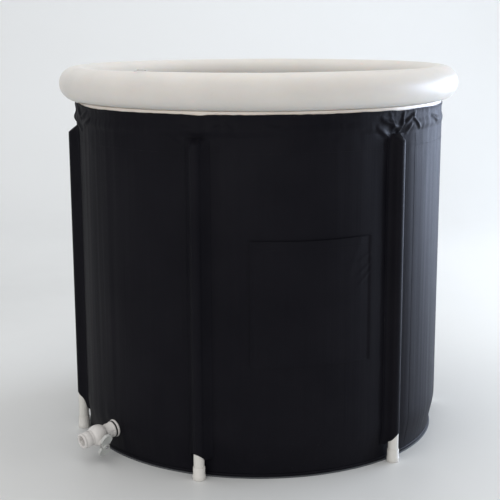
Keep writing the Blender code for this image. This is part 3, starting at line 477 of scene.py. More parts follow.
weld_surface = grained("liner_weld_surface", (0.74, 0.73, 0.71), (0.69, 0.68, 0.66), 0.3, 600.0, 0.35)
shape = sheet_shape(
    360, 3, lambda u, v: round_point(u * 2 * math.pi, 0.3528 - 0.012 * v, 0.0150 + 0.0003 * math.sin(math.pi * v)),
    wraps=True,
)
upright = sheet_shape(
    4, 100,
    lambda u, v: liner_point(0.5 + (u - 0.5) * 0.014 / (2 * math.pi * 0.364), 0.37 + 0.57 * v)
    + radial(math.pi) * -0.0012,
)
add_shape(shape, upright)
liner_welds = finish_piece(shape, "liner_welds", weld_surface, "tub")
thicken(liner_welds, 0.0004)

# Cover cloth, shared by cover, band, sleeves, pocket and piping: black coated weave with a fine
# thread, faint upright streaks where it is stretched, an uneven sheen, and pale dust at the foot.
CLOTH, cloth_in, cloth_out = new_group(
    "coated_weave",
    [("Position", "NodeSocketVector")],
    [(label, "NodeSocketFloat") for label in ("Height", "Streaks", "Mottle", "Dust")],
)
THREAD_PITCH = 0.0009
parts = CLOTH.nodes.new("ShaderNodeSeparateXYZ")
CLOTH.links.new(cloth_in.outputs["Position"], parts.inputs[0])
turn = math_node(CLOTH, "ARCTAN2", parts.outputs["X"], math_node(CLOTH, "MULTIPLY", parts.outputs["Y"], -1.0))
arc = math_node(CLOTH, "MULTIPLY", turn, WALL_RADIUS)
warp = math_node(CLOTH, "SINE", math_node(CLOTH, "MULTIPLY", arc, 2 * math.pi / THREAD_PITCH))
weft = math_node(CLOTH, "SINE", math_node(CLOTH, "MULTIPLY", parts.outputs["Z"], 2 * math.pi / THREAD_PITCH))
threads = math_node(CLOTH, "MULTIPLY", warp, weft)
flat = CLOTH.nodes.new("ShaderNodeCombineXYZ")
CLOTH.links.new(arc, flat.inputs["X"])
CLOTH.links.new(parts.outputs["Z"], flat.inputs["Z"])
slubs = noise_node(CLOTH, stretch_node(CLOTH, flat.outputs[0], 900.0, 1.0, 900.0), 1.0, 2.0)
CLOTH.links.new(
    math_node(CLOTH, "ADD", math_node(CLOTH, "MULTIPLY", threads, 0.35), math_node(CLOTH, "MULTIPLY", slubs, 0.5)),
    cloth_out.inputs["Height"],
)
streaks = noise_node(CLOTH, stretch_node(CLOTH, flat.outputs[0], 70.0, 1.0, 1.6), 1.0, 4.0, 0.6)
CLOTH.links.new(streaks, cloth_out.inputs["Streaks"])
mottle = noise_node(CLOTH, cloth_in.outputs["Position"], 7.0, 5.0, 0.6)
CLOTH.links.new(span_node(CLOTH, mottle, 0.3, 0.7, 0.0, 1.0), cloth_out.inputs["Mottle"])
lint = noise_node(CLOTH, cloth_in.outputs["Position"], 420.0, 3.0, 0.75)
low = span_node(CLOTH, parts.outputs["Z"], 0.0, 0.14, 1.0, 0.15)
specks = span_node(CLOTH, lint, 0.6, 0.78, 0.0, 1.0)
settled = math_node(CLOTH, "MULTIPLY", low, math_node(CLOTH, "ADD", mottle, 0.2))
CLOTH.links.new(math_node(CLOTH, "MULTIPLY", specks, settled), cloth_out.inputs["Dust"])

# The row of stitches round the cover, and its upright closing seam.
STITCH_HEIGHT = 0.607
CLOSING_SEAM = math.radians(51.2)


def cloth(name, roughness=0.55, seams=False):
    """The black cloth as a material; the cover's own one has its stitched lines as well."""
    made, tree, shader = new_surface(name, roughness, Specular_IOR_Level=0.08)
    position = tree.nodes.new("ShaderNodeTexCoord").outputs["Object"]
    group = tree.nodes.new("ShaderNodeGroup")
    group.node_tree = CLOTH
    tree.links.new(position, group.inputs["Position"])
    tone = mix_node(tree, group.outputs["Mottle"], (0.0034, 0.0032, 0.0058), (0.0061, 0.0058, 0.0088))
    dusted = math_node(tree, "MULTIPLY", group.outputs["Dust"], 0.18)
    tree.links.new(mix_node(tree, dusted, tone, (0.22, 0.21, 0.2)), shader.inputs["Base Color"])
    gloss = span_node(tree, group.outputs["Streaks"], 0.3, 0.7, roughness - 0.05, roughness + 0.06)
    dulled = math_node(tree, "MULTIPLY", group.outputs["Dust"], 0.3)
    tree.links.new(math_node(tree, "ADD", gloss, dulled), shader.inputs["Roughness"])
    bump(tree, shader, group.outputs["Height"], 0.25, 0.00012)
    bump(tree, shader, group.outputs["Streaks"], 0.35, 0.0016)
    if seams:
        axes = tree.nodes.new("ShaderNodeSeparateXYZ")
        tree.links.new(position, axes.inputs[0])
        off = math_node(tree, "SUBTRACT", axes.outputs["Z"], STITCH_HEIGHT)
        line = span_node(tree, math_node(tree, "ABSOLUTE", off), 0.0, 0.0016, 1.0, 0.0)
        around = math_node(tree, "ARCTAN2", axes.outputs["X"], math_node(tree, "MULTIPLY", axes.outputs["Y"], -1.0))
        aside = math_node(tree, "ABSOLUTE", math_node(tree, "SUBTRACT", around, CLOSING_SEAM))
        upright = span_node(tree, aside, 0.0, 0.0045, 1.0, 0.0)
        bump(tree, shader, math_node(tree, "MAXIMUM", line, upright), -0.6, 0.0012)
    return made


cover_surface = cloth("cover_surface", seams=True)
cloth_surface = cloth("cloth_surface")
thread_surface = grained(
    "thread_surface", (0.008, 0.008, 0.010), (0.014, 0.014, 0.017), 0.7, 3000.0, 0.4, Specular_IOR_Level=0.08,
)

# Side cover: the cloth wall, stretched over the foam from the piping up to the foam's top edge.
COVER_ROWS = [0.0093, 0.0190, 0.0280] + [0.0350 + 0.0045 * i for i in range(9)] + [0.08, 0.09, 0.10]
COVER_ROWS += [0.10 + 0.048 * i for i in range(1, 11)] + [0.58 + 0.053 * i / 24 for i in range(1, 25)]


def cover_height(share):
    return COVER_ROWS[round(share * (len(COVER_ROWS) - 1))]


shape = sheet_shape(
    960, len(COVER_ROWS) - 1,
    lambda u, v: round_point(u * 2 * math.pi, cover_at(u * 2 * math.pi, cover_height(v)), cover_height(v)),
    wraps=True,
)
open_hole(shape, COVER_HOLE)
cover = finish_piece(shape, "side_cover_cloth", cover_surface, "tub", 180)
thicken(cover, 0.0010)
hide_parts("side_cover")


def stitch_row(shape, path, count, first=0.0, last=1.0, radius=0.00028):
    """A row of thread stitches along a path, each one a swelling of one thin thread."""
    steps = count * 6
    line = [path(first + (last - first) * step / steps) for step in range(steps + 1)]

    def place(u, v):
        step = round(v * steps)
        here = line[step]
        outward = Vector((here.x, here.y, 0.0)).normalized()
        aside = outward.cross((line[min(step + 1, steps)] - line[max(step - 1, 0)]).normalized())
        turn = u * 2 * math.pi
        swell = radius * (0.12 + 0.88 * abs(math.sin(math.pi * count * v)) ** 0.6)
        return here + (outward * math.cos(turn) + aside * math.sin(turn)) * swell

    add_shape(shape, sheet_shape(6, steps, place))


# Stitching of the cover: one row right round below the foam's edge, and one up the closing seam.
shape = bmesh.new()


def top_row(share):
    azimuth = share * 2 * math.pi
    return round_point(azimuth, cover_at(azimuth, STITCH_HEIGHT) + 0.0001, STITCH_HEIGHT)


def closing_seam(share):
    azimuth, height = CLOSING_SEAM + 0.0035, 0.012 + share * 0.618
    return round_point(azimuth, cover_at(azimuth, height) + 0.0001, height)


stitch_row(shape, top_row, 560)
stitch_row(shape, closing_seam, 150)
cover_stitches = finish_piece(shape, "cover_stitches", thread_surface, "tub")

# Bottom piping: a cord in a fold of the same cloth, sewn between the cover and the base sheet.
shape = bmesh.new()
lathe(
    shape,
    [(0.36105 + 0.003 * math.cos(a * math.pi / 8), 0.0058 + 0.003 * math.sin(a * math.pi / 8)) for a in range(16)],
    360, closed=True,
)
piping = finish_piece(shape, "bottom_piping_cord", cloth_surface, "tub", 180)
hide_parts("bottom_piping")

# Gathered band: the loose top of the cover. It bulges over the foam's edge, is pulled in at the
# ring's strip, and the drag lines that start on the cover run on over it from the poles' tops.


BAND_FOOT = 0.6330


def band_point(u, v):
    azimuth = u * 2 * math.pi
    across, deep = math.sin(azimuth), math.cos(azimuth)
    number, along = from_pole(azimuth)
    hem = 0.6752 + 0.0011 * noise.noise(Vector((across * 7, deep * 7, 3.0)))
    hem += 0.0006 * noise.noise(Vector((across * 26, deep * 26, 5.0)))
    if number == 5:
        hem += 0.0042 * math.exp(-(((along - 0.038) / 0.045) ** 2))
    else:
        hem -= 0.0016 * math.exp(-(((along - 0.008) / 0.02) ** 2))
    height = BAND_FOOT + v * (hem - BAND_FOOT)
    if v == 0:
        return round_point(azimuth, cover_at(azimuth, height), height)
    start = wall_at(azimuth, BAND_FOOT)
    radius = start + (0.37275 - start) * gate(v, 0.0, 0.55)
    radius += 0.0019 * math.sin(math.pi * min(v / 0.6, 1.0)) ** 2
    radius -= 0.0009 * math.exp(-(((v - 0.68) / 0.12) ** 2))
    radius += 0.0008 * gate(v, 0.85, 1.0)
    gathers = noise.noise(Vector((across * 18, deep * 18, height * 16)))
    fine = noise.noise(Vector((across * 60, deep * 60, height * 18 + 9)))
    radius += (0.0007 * gathers + 0.0003 * fine) * gate(v, 0.0, 0.3)
    radius += max(fold_rise(azimuth, height), -0.0003 - 0.003 * v) * (1 - 0.5 * gate(v, 0.85, 1.0))
    return round_point(azimuth, max(radius, 0.37225) if v > 0.5 else radius, height)


shape = sheet_shape(960, 34, band_point, wraps=True)
band = finish_piece(shape, "gathered_band_cloth", cloth_surface, "tub", 180)
thicken(band, 0.0007)
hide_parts("gathered_band")

# The band's hem is sewn to the ring's strip: a row of stitches follows its uneven edge.
shape = bmesh.new()
stitch_row(shape, lambda s: band_point(s, 0.93) + radial(s * 2 * math.pi) * 0.0001, 560)
hem_stitches = finish_piece(shape, "hem_stitches", thread_surface, "tub")

# Poles: plain pale pipes, a cap with a flat foot pushed over each lower end, a plug in each top.
pole_surface = grained("pole_surface", (0.72, 0.705, 0.665), (0.67, 0.655, 0.615), 0.38, 1500.0, 0.12)
cap_surface = grained("cap_surface", (0.71, 0.692, 0.655), (0.65, 0.632, 0.595), 0.42, 1100.0, 0.22)
for number, azimuth in enumerate(POLE_AZIMUTHS, start=1):
    stand = Matrix.Translation(radial(azimuth) * POLE_RADII[number - 1])
    shape = bmesh.new()
    lathe(
        shape,
        [(0.0097, 0.0033), (0.01, 0.0036), (0.01, 0.6139), (0.0097, 0.6142), (0.0083, 0.6142),
         (0.008, 0.6139), (0.008, 0.0036), (0.0083, 0.0033)],
        48, stand, closed=True,
    )
    pole = finish_piece(shape, f"pole_pipe_{number}", pole_surface, "tub")
    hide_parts(f"pole_{number}")
    shape = bmesh.new()
    lathe(
        shape,
        [(0.0, 0.003), (0.0103, 0.003), (0.0103, 0.0249), (0.0106, 0.0251), (0.0111, 0.0251),
         (0.01135, 0.0247), (0.01135, 0.0101), (0.01165, 0.0095), (0.0121, 0.0089), (0.0121, 0.0013),
         (0.0117, 0.0005), (0.0109, 0.0), (0.0055, 0.0), (0.005, 0.0006), (0.0, 0.0006)],
        48, stand,
    )
    foot = finish_piece(shape, f"foot_cap_{number}_moulded", cap_surface, "tub", 50)
    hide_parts(f"foot_cap_{number}")
    shape = bmesh.new()
    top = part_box(f"pole_plug_{number}")[1].z
    lathe(
        shape,
        [(0.0, top), (0.0086, top), (0.0094, top - 0.0006), (0.0100, top - 0.0024), (0.0100, top - 0.0030),
         (0.0077, top - 0.0030), (0.0077, top - 0.0190), (0.0067, top - 0.0205), (0.0, top - 0.0205)],
        48, stand,
    )
    plug = finish_piece(shape, f"pole_plug_{number}_moulded", cap_surface, "tub")
    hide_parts(f"pole_plug_{number}")

# Pole sleeves: the cover's cloth in a long channel over each pole, sewn flat on both sides. The
# top is sewn shut on a slant and the foot is cut in an arch, so that the pole's end can come out.


# How closely each sleeve hugs its pole, 1 being a straight flank; and each foot's own cut: height of
# its sewn edges, rise of the arch, and the peak's place and reach along the wall.
SLEEVE_HUGS = [1.15, 5.0, 1.3, 1.5, 1.3, 1.6]
SLEEVE_TOP = 0.6322
FOOT_CUTS = [
    (0.0390, 0.0130, -0.0045, 0.0155), (0.0350, 0.0245, 0.0090, 0.0215), (0.0430, 0.0140, 0.0010, 0.0170),
    (0.0440, 0.0120, -0.0020, 0.0180), (0.0420, 0.0150, 0.0030, 0.0170), (0.0460, 0.0330, -0.0010, 0.0170),
]


def sleeve_point(azimuth, u, v, slack):
    hold, flank, middle = 0.01055, 0.0135, POLE_RADII[slack - 1]
    turn = (u - 0.5) * 2
    lap, side = max((abs(turn) - 0.6) / 0.4, 0.0), math.copysign(1.0, turn)
    last_turn = math.radians(72)
    end_across = hold * 0.95 + flank
    angle = turn / 0.6 * last_turn
    if lap > 0:
        across = side * (hold * math.sin(last_turn) + (end_across - hold * math.sin(last_turn)) * lap)
    else:
        across = hold * math.sin(angle)
    low, rise, shift, reach = FOOT_CUTS[slack - 1]
    low += rise * max(0.0, 1 - ((across - shift) / reach) ** 2) ** 0.6
    height = low + v * (SLEEVE_TOP - low)
    closing = gate(height, 0.6205, SLEEVE_TOP)
    if lap > 0:
        rim = middle + hold * math.cos(last_turn)
        foot = cover_at(azimuth + side * end_across / WALL_RADIUS, height) * math.cos(end_across / WALL_RADIUS)
        out = rim + (foot - rim) * (1 - (1 - lap) ** SLEEVE_HUGS[slack - 1])
    else:
        out = middle + hold * math.cos(angle)
    here = azimuth + across / WALL_RADIUS
    sewn_in = 0.0009 * gate(lap, 0.55, 1.0) - 0.0003
    wall = (cover_at(here, height) - sewn_in) * math.cos(across / WALL_RADIUS)
    out = max(out, wall)
    out = wall + (out - wall) * (1 - 0.82 * closing)
    side_noise = noise.noise(Vector((across * 70, azimuth * 5 + slack, height * 9)))
    across_noise = noise.noise(Vector((height * 5.0, azimuth * 3 + 20, slack)))
    loose = math.sin(math.pi * abs(turn)) if abs(turn) > 0.5 else 0.0
    out += 0.0007 * side_noise * loose
    across += 0.0003 * across_noise * (1 - abs(turn))
    return radial(azimuth) * out + tangent(azimuth) * across + Vector((0.0, 0.0, height))


for number, azimuth in enumerate(POLE_AZIMUTHS, start=1):
    shape = sheet_shape(44, 90, lambda u, v: sleeve_point(azimuth, u, v, number))
    sleeve = finish_piece(shape, f"pole_sleeve_{number}_cloth", cloth_surface, "tub", 180)
    thicken(sleeve, 0.0007, 1.0)
    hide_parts(f"pole_sleeve_{number}")

# Two rows of stitches hold each sleeve, one along each flat edge.
shape = bmesh.new()
for number, azimuth in enumerate(POLE_AZIMUTHS, start=1):
    for u in (0.028, 0.972):
        stitch_row(
            shape, lambda s: sleeve_point(azimuth, u, s, number) + radial(azimuth) * 0.0008, 138, 0.008, 0.985,
        )
sleeve_stitches = finish_piece(shape, "sleeve_stitches", thread_surface, "tub")

# Front pocket: a flat patch of the cloth, sewn down on three sides, with a doubled hem along its
# open top, which stands a little off the cover.
POCKET = (math.radians(-3.0), math.radians(33.0), 0.217, 0.452)


def pocket_point(u, v, lift=0.0):
    first, last, low, high = POCKET
    azimuth = first + u * (last - first)
    belly = 0.0020 * math.sin(math.pi * u) ** 0.8 * v ** 3
    pull = noise.noise(Vector((u * 3.0, v * 4.0, 5.0))) * 0.0008 * math.sin(math.pi * u) * gate(v, 0.05, 0.3)
    pucker = noise.noise(Vector((u * 60.0, v * 70.0, 2.0))) * 0.0004 * (1 - gate(min(u, 1 - u, v), 0.0, 0.06))
    crease = 0.0004 * math.exp(-(((u - 0.9 + (1 - v) * 0.35) / 0.03) ** 2))
    crease *= gate(v, 0.6, 0.8) * (1 - gate(v, 0.97, 1.0))
    height = low + v * (high - low) - 0.0016 * math.sin(math.pi * u) * v ** 6
    turned_in = 0.0019 * (1 - gate(min(u, 1 - u, v + 0.02), 0.004, 0.03)) * (0.45 + 0.55 * gate(u, 0.5, 1.0))
    drag = 0.0
    for start, rise in ((0.60, 0.9), (0.69, 0.7), (0.80, 0.45)):
        drag += 0.0009 * math.exp(-(((v - start - rise * (u - 0.86)) / 0.016) ** 2)) * gate(u, 0.84, 0.93)
    radius = wall_at(azimuth, height) + 0.0012 + belly + max(pull, -0.0004) + max(pucker, -0.0003) + crease + lift
    radius += turned_in + drag * (1 - gate(u, 0.97, 1.0))
    return round_point(azimuth, radius, height)


pocket_surface = cloth("pocket_surface", 0.57)
shape = sheet_shape(110, 110, pocket_point)
hem = sheet_shape(110, 6, lambda u, v: pocket_point(u, 0.925 + 0.073 * v, 0.0008))
add_shape(shape, hem)
pocket = finish_piece(shape, "front_pocket_cloth", pocket_surface, "tub", 180)
thicken(pocket, 0.0007)
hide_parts("front_pocket")

shape = bmesh.new()
for u in (0.014, 0.986):
    stitch_row(shape, lambda s: pocket_point(u, s, 0.0001), 56, 0.004, 0.985)
for v, lift in ((0.014, 0.0001), (0.93, 0.0010), (0.99, 0.0010)):
    stitch_row(shape, lambda s: pocket_point(s, v, lift), 56, 0.01, 0.985)
pocket_stitches = finish_piece(shape, "pocket_stitches", thread_surface, "tub")

# Ring's strip: a pale coated band that hangs from a flange welded to the ring's underside. A thin
# line of it shows between the white ring and the black cloth, rippled by the sewing.


RING_RADIUS, RING_HEIGHT, RING_TUBE = 0.37009, 0.7146, 0.03325


def strip_point(u, v):
    azimuth = u * 2 * math.pi
    ring, tube, height = RING_RADIUS, 0.0344, RING_HEIGHT
    ripple = noise.noise(Vector((math.sin(azimuth) * 34, math.cos(azimuth) * 34, 1.0)))
    if v < 0.34:
        angle = math.radians(-90 - 22 + 22 * v / 0.34)
        return round_point(azimuth, ring + tube * math.cos(angle), height + tube * math.sin(angle))
    share = (v - 0.34) / 0.66
    turn = gate(share, 0.0, 0.12)
    radius = ring + 0.0008 + 0.0004 * ripple * math.sin(math.pi * min(share * 1.6, 1.0)) - 0.0004 * (1 - turn)
    return round_point(azimuth, radius, 0.6802 - share * (0.6802 - 0.6555))


strip_surface = grained(
    "strip_surface", (0.93, 0.8, 0.69), (0.9, 0.77, 0.66), 0.36, 1500.0, 0.12,
    Subsurface_Weight=0.4, Subsurface_Radius=(1.0, 0.7, 0.5), Subsurface_Scale=0.01,
)
shape = sheet_shape(540, 26, strip_point, wraps=True)
strip = finish_piece(shape, "ring_strip_sheet", strip_surface, "tub", 60)
thicken(strip, 0.0009, 0.0)
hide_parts("ring_strip")

# Air ring: one tube of thick white sheet, blown up hard. Its seam runs round the inside, with the
# small puckers that a weld pulled into a circle has; the underside bears the strip's weld line.


RING_SEAM = 188


def ring_point(u, v, lift=0.0):
    azimuth, angle = u * 2 * math.pi, v * 2 * math.pi
    across, deep = math.sin(azimuth), math.cos(azimuth)
    tube = RING_TUBE + lift
    tube += 0.00045 * noise.noise(Vector((across * 3.5, deep * 3.5, math.sin(angle) * 0.8)))
    seam = math.exp(-(((angle - math.radians(RING_SEAM)) / 0.5) ** 2))
    pucker = noise.noise(Vector((across * 46, deep * 46, 6.0)))
    tube -= (0.0004 + 0.0004 * max(pucker, 0.0)) * seam
    under = math.exp(-(((angle - math.radians(270)) / 0.34) ** 2))
    tube -= 0.0004 * under * (0.5 + noise.noise(Vector((across * 40, deep * 40, 2.0))))
    return round_point(azimuth, RING_RADIUS + tube * math.cos(angle), RING_HEIGHT + tube * math.sin(angle))


ring_surface = grained(
    "ring_surface", (0.69, 0.668, 0.638), (0.65, 0.632, 0.605), 0.42, 1800.0, 0.07, Specular_IOR_Level=0.22,
    Subsurface_Weight=0.7, Subsurface_Radius=(1.0, 0.78, 0.6), Subsurface_Scale=0.04,
)
shape = sheet_shape(720, 80, ring_point, wraps=True)
air_ring = finish_piece(shape, "air_ring_tube", ring_surface, "tub", 180)
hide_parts("air_ring")



def ring_seam_point(u, v):
    return ring_point(u, (RING_SEAM + 9 * (v - 0.5) * 2) / 360, 0.0001 + 0.0005 * (1 - abs(2 * v - 1)))


shape = sheet_shape(720, 2, ring_seam_point, wraps=True)
ring_seam = finish_piece(shape, "air_ring_seam", ring_surface, "tub", 180)

# Air valve: a soft neck sunk into the ring, with a welded rim that lies on the ring's curve, and its
# cap, which folds open on a short tongue.
AIR_VALVE = Matrix((
    (0.8141155, 0.5695449, 0.1132895, -0.2114974),
    (-0.580703, 0.7984725, 0.1588261, -0.2965083),
    (0.0, -0.1950904, 0.9807852, 0.7467288),
    (0.0, 0.0, 0.0, 1.0),
))
valve_surface = grained("air_valve_surface", (0.7, 0.69, 0.67), (0.64, 0.63, 0.61), 0.28, 1600.0, 0.1)


def rounded_block(shape, low, high, place, rounding=0.0004, sides=3):
    """A box between two corners of a frame, its edges rounded, added to the mesh being edited."""
    made = bmesh.new()
    bmesh.ops.create_cube(made, size=1.0)
    middle, size = (Vector(low) + Vector(high)) / 2, Vector(high) - Vector(low)
    stretch = Matrix.Translation(middle) @ Matrix.Diagonal((*size, 1.0))
    bmesh.ops.transform(made, matrix=stretch, verts=made.verts)
    bmesh.ops.bevel(
        made, geom=list(made.edges), offset=rounding, segments=sides, profile=0.5, affect="EDGES", material=-1,
    )
    bmesh.ops.transform(made, matrix=place, verts=made.verts)
    add_shape(shape, made)


shape = bmesh.new()
lathe(
    shape,
    [(0.0, -0.0065), (0.0046, -0.0065), (0.0050, -0.0061), (0.0050, 0.0020), (0.0054, 0.0024),
     (0.0091, 0.0024), (0.0095, 0.0020), (0.0095, 0.0012), (0.0091, 0.0009), (0.0080, 0.0008),
     (0.0080, -0.0076), (0.0076, -0.0080), (0.0, -0.0080)],
    64, AIR_VALVE,
)
weld = bmesh.new()
lathe(
    weld,
    [(0.0080, 0.0011), (0.0110, 0.0008), (0.0138, 0.0006), (0.0143, 0.0002), (0.0138, -0.0006), (0.0080, -0.0006)],
    64, AIR_VALVE, closed=True,
)
for vert in weld.verts:
    level = (AIR_VALVE.inverted() @ vert.co).z
    middle = Vector((vert.co.x, vert.co.y, 0.0)).normalized() * RING_RADIUS + Vector((0.0, 0.0, RING_HEIGHT))
    vert.co = middle + (vert.co - middle).normalized() * (RING_TUBE + level)
add_shape(shape, weld)
rounded_block(shape, (0.0078, -0.0024, 0.0009), (0.0119, 0.0024, 0.0024), AIR_VALVE)
neck = finish_piece(shape, "air_valve_neck_moulded", valve_surface, "tub", 50)
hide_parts("air_valve_neck")

shape = bmesh.new()
cap_place = AIR_VALVE @ Matrix.Translation((0.0, 0.0, 0.0027))
lathe(
    shape,
    [(0.0, 0.0013), (0.0056, 0.0014), (0.0060, 0.0018), (0.0072, 0.0018), (0.0078, 0.0013),
     (0.0078, 0.0004), (0.0074, 0.0), (0.0040, 0.0), (0.0038, -0.0040), (0.0034, -0.0045), (0.0, -0.0045)],
    64, cap_place,
)
rounded_block(shape, (0.0070, -0.0023, 0.0), (0.0120, 0.0023, 0.0012), cap_place)
rounded_block(shape, (-0.0104, -0.0020, 0.0001), (-0.0072, 0.0020, 0.0011), cap_place)
cap = finish_piece(shape, "air_valve_cap_moulded", valve_surface, "air_cap", 50)
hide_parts("air_valve_cap")

# Drain valve: a moulded ball valve in off-white plastic. Flange, gasket, barrel with its ball
# housing, stem boss, threaded outlet; inside are the seats, the ball and the stem. It is screwed
# through the wall with a gasket and a nut on the inside, and its handle turns with the stem.
STEM = Matrix((
    (-0.7651246, -0.2314854, 0.6008317, -0.3163704),
    (-0.63072, 0.4571618, -0.6270529, -0.2607957),
    (-0.1295237, -0.8587302, -0.4957882, 0.04856),
    (0.0, 0.0, 0.0, 1.0),
))
body_surface = grained(
    "drain_body_surface", (0.72, 0.695, 0.675), (0.67, 0.645, 0.62), 0.34, 1300.0, 0.16, Specular_IOR_Level=0.5,
)
rubber_surface = grained(
    "rubber_surface", (0.012, 0.012, 0.012), (0.02, 0.02, 0.02), 0.6, 1500.0, 0.3, (0.12, 0.12, 0.12),
)
seat_surface = grained("seat_surface", (0.8, 0.8, 0.78), (0.74, 0.74, 0.72), 0.3, 2000.0, 0.08)

shape = bmesh.new()
lathe(
    shape,
    [(0.0095, 0.0198), (0.0095, 0.0045), (0.0158, 0.0045), (0.0168, 0.0042), (0.0174, 0.0034),
     (0.0176, 0.0024), (0.0174, 0.0013), (0.0169, 0.0003), (0.0104, 0.0003), (0.0104, -0.0195),
     (0.0099, -0.0202), (0.0068, -0.0202), (0.0065, -0.0199), (0.0065, 0.0195), (0.0068, 0.0198)],
    96, DRAIN, closed=True,
)
thread = [(0.0104 + 0.0003 * (step % 2), -0.0192 + step * 0.0005) for step in range(22)]
lathe(shape, [(0.01035, -0.0194)] + thread + [(0.01035, -0.0084)], 64, DRAIN)
bulkhead = finish_piece(shape, "drain_bulkhead_moulded", body_surface, "tub", 50)
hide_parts("drain_bulkhead")

for name, near, far in (("outer_gasket", 0.0046, 0.0071), ("inner_gasket", -0.01013, -0.00763)):
    shape = bmesh.new()
    bore = 0.0098 if near > 0 else 0.0107
    middle, half = (near + far) / 2, (far - near) / 2
    bends = [math.pi * (0.5 - i / 8) for i in range(9)]
    rim = [(0.0157 + 0.0008 * math.cos(bend), middle + half * math.sin(bend)) for bend in bends]
    lathe(shape, [(bore, far)] + rim + [(bore, near)], 96, DRAIN, closed=True)
    gasket = finish_piece(shape, f"{name}_moulded", rubber_surface, "tub", 50)
    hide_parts(name)

# The barrel, with ribs on its rim for a grip, the swelling round the ball and a moulded edge where
# the outlet is screwed in.
arc = []
for i in range(25):
    angle = math.pi * (1 - 0.14) - i * math.pi * (1 - 0.28) / 24
    neck = 0.0138 if i < 12 else 0.0156
    arc.append((max(0.0204 * math.sin(angle) ** 0.5, neck), 0.042 + 0.0165 * math.cos(angle)))
shape = bmesh.new()
lathe(
    shape,
    [(0.0098, 0.0074), (0.0151, 0.0074), (0.0155, 0.0078), (0.0155, 0.0100), (0.0151, 0.0104),
     (0.0141, 0.0105), (0.0138, 0.0109), (0.0138, 0.0240)]
    + arc
    + [(0.0156, 0.0592), (0.0155, 0.0598), (0.0152, 0.0600), (0.0114, 0.0600), (0.0114, 0.0295),
       (0.0065, 0.0295), (0.0065, 0.0201), (0.0098, 0.0201)],
    96, DRAIN, closed=True,
)
for turn in range(4):
    spin = DRAIN @ Matrix.Rotation(math.radians(45 + 90 * turn), 4, "Z")
    rounded_block(shape, (0.0130, -0.0007, 0.0104), (0.0147, 0.0007, 0.0235), spin, 0.0003)
lathe(
    shape,
    [(0.0065, 0.0155), (0.0097, 0.0155), (0.0097, 0.0196), (0.0091, 0.0205), (0.0088, 0.0210),
     (0.0088, 0.0222), (0.0084, 0.0226), (0.0065, 0.0226)],
    64, STEM, closed=True,
)
barrel = finish_piece(shape, "drain_body_moulded", body_surface, "tub", 50)
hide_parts("drain_body")

# The outlet: a short spout with a threaded socket, a rounded lip and two fine mould lines.
shape = bmesh.new()
socket = [(0.0103 - 0.0003 * (step % 2), 0.0768 - step * 0.00055) for step in range(20)]
lathe(
    shape,
    [(0.0136, 0.0779), (0.0144, 0.0776), (0.0148, 0.0768), (0.0149, 0.0738), (0.0147, 0.0735),
     (0.0147, 0.0729), (0.0150, 0.0726), (0.0154, 0.0606), (0.0151, 0.0602), (0.0111, 0.0602),
     (0.0111, 0.0548), (0.0065, 0.0548), (0.0065, 0.0645), (0.0098, 0.0650)]
    + socket[::-1] + [(0.0106, 0.0775), (0.0111, 0.0780), (0.0130, 0.0780)],
    96, DRAIN, closed=True,
)
outlet = finish_piece(shape, "drain_outlet_moulded", body_surface, "tub", 50)
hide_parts("drain_outlet")

# The handle: two leaves either side of a hub, thicker at the rim than in the middle, with the
# flat head of its screw in the hub.
handle_surface = grained("handle_surface", (0.56, 0.57, 0.55), (0.5, 0.51, 0.495), 0.32, 1300.0, 0.14)
LEAF_LENGTH = 0.0292
shape = bmesh.new()
for side in (1, -1):
    outline = []
    for i in range(41):
        reach = math.cos(math.pi * i / 40)
        along = max(LEAF_LENGTH * math.sin(math.pi * i / 40), 0.0047)
        swell = math.sin(math.pi * (0.04 + 0.78 * along / LEAF_LENGTH)) ** 2
        half_width = (0.0072 + 0.0054 * swell) * abs(reach) ** 0.34
        outline.append((side * math.copysign(half_width, reach), side * along))
    outline = [point for point, other in zip(outline, outline[1:] + outline[:1]) if point != other]
    leaf = bmesh.new()
    face = leaf.faces.new([leaf.verts.new((across, along, 0.0259)) for across, along in outline])
    raised = bmesh.ops.extrude_face_region(leaf, geom=[face])
    top = [v for v in raised["geom"] if isinstance(v, bmesh.types.BMVert)]
    bmesh.ops.translate(leaf, vec=(0, 0, 0.0052), verts=top)
    bmesh.ops.recalc_face_normals(leaf, faces=leaf.faces)
    for facing in (1, -1):
        for thickness, depth in ((0.0008, 0.0004), (0.0012, -0.0005)):
            flat = [f for f in leaf.faces if f.normal.z * facing > 0.9 and len(f.verts) > 20]
            bmesh.ops.inset_region(leaf, faces=flat, thickness=thickness, depth=depth)
    bmesh.ops.transform(leaf, matrix=STEM, verts=leaf.verts)
    add_shape(shape, leaf)
lathe(
    shape,
    [(0.0043, 0.0235), (0.0065, 0.0235), (0.0068, 0.0238), (0.0068, 0.0336), (0.0064, 0.0340), (0.0043, 0.0340)],
    64, STEM, closed=True,
)
handle = finish_piece(shape, "drain_handle_moulded", handle_surface, "valve_stem", 45)
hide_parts("drain_handle")

steel_surface = grained(
    "steel_surface", (0.55, 0.55, 0.56), (0.48, 0.48, 0.5), 0.28, 2500.0, 0.1, (0.3, 0.28, 0.26), Metallic=1.0,
)
shape = bmesh.new()
lathe(
    shape,
    [(0.0, 0.0357), (0.0006, 0.0357), (0.0007, 0.0361), (0.0020, 0.0360), (0.0029, 0.0355),
     (0.0032, 0.0349), (0.0032, 0.0343), (0.0014, 0.0343), (0.0014, 0.0262), (0.0, 0.0260)],
    48, STEM,
)
screw = finish_piece(shape, "handle_screw_turned", steel_surface, "valve_stem")
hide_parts("handle_screw")

# Pieces of the valve that stay as the model has them, and the nut on the inside.
for name, surface in (
    ("drain_nut", body_surface), ("stem_seal", rubber_surface), ("inlet_seat", seat_surface),
    ("outlet_seat", seat_surface), ("drain_ball", seat_surface), ("drain_stem", seat_surface),
):
    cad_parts[name].material_slots[0].material = surface

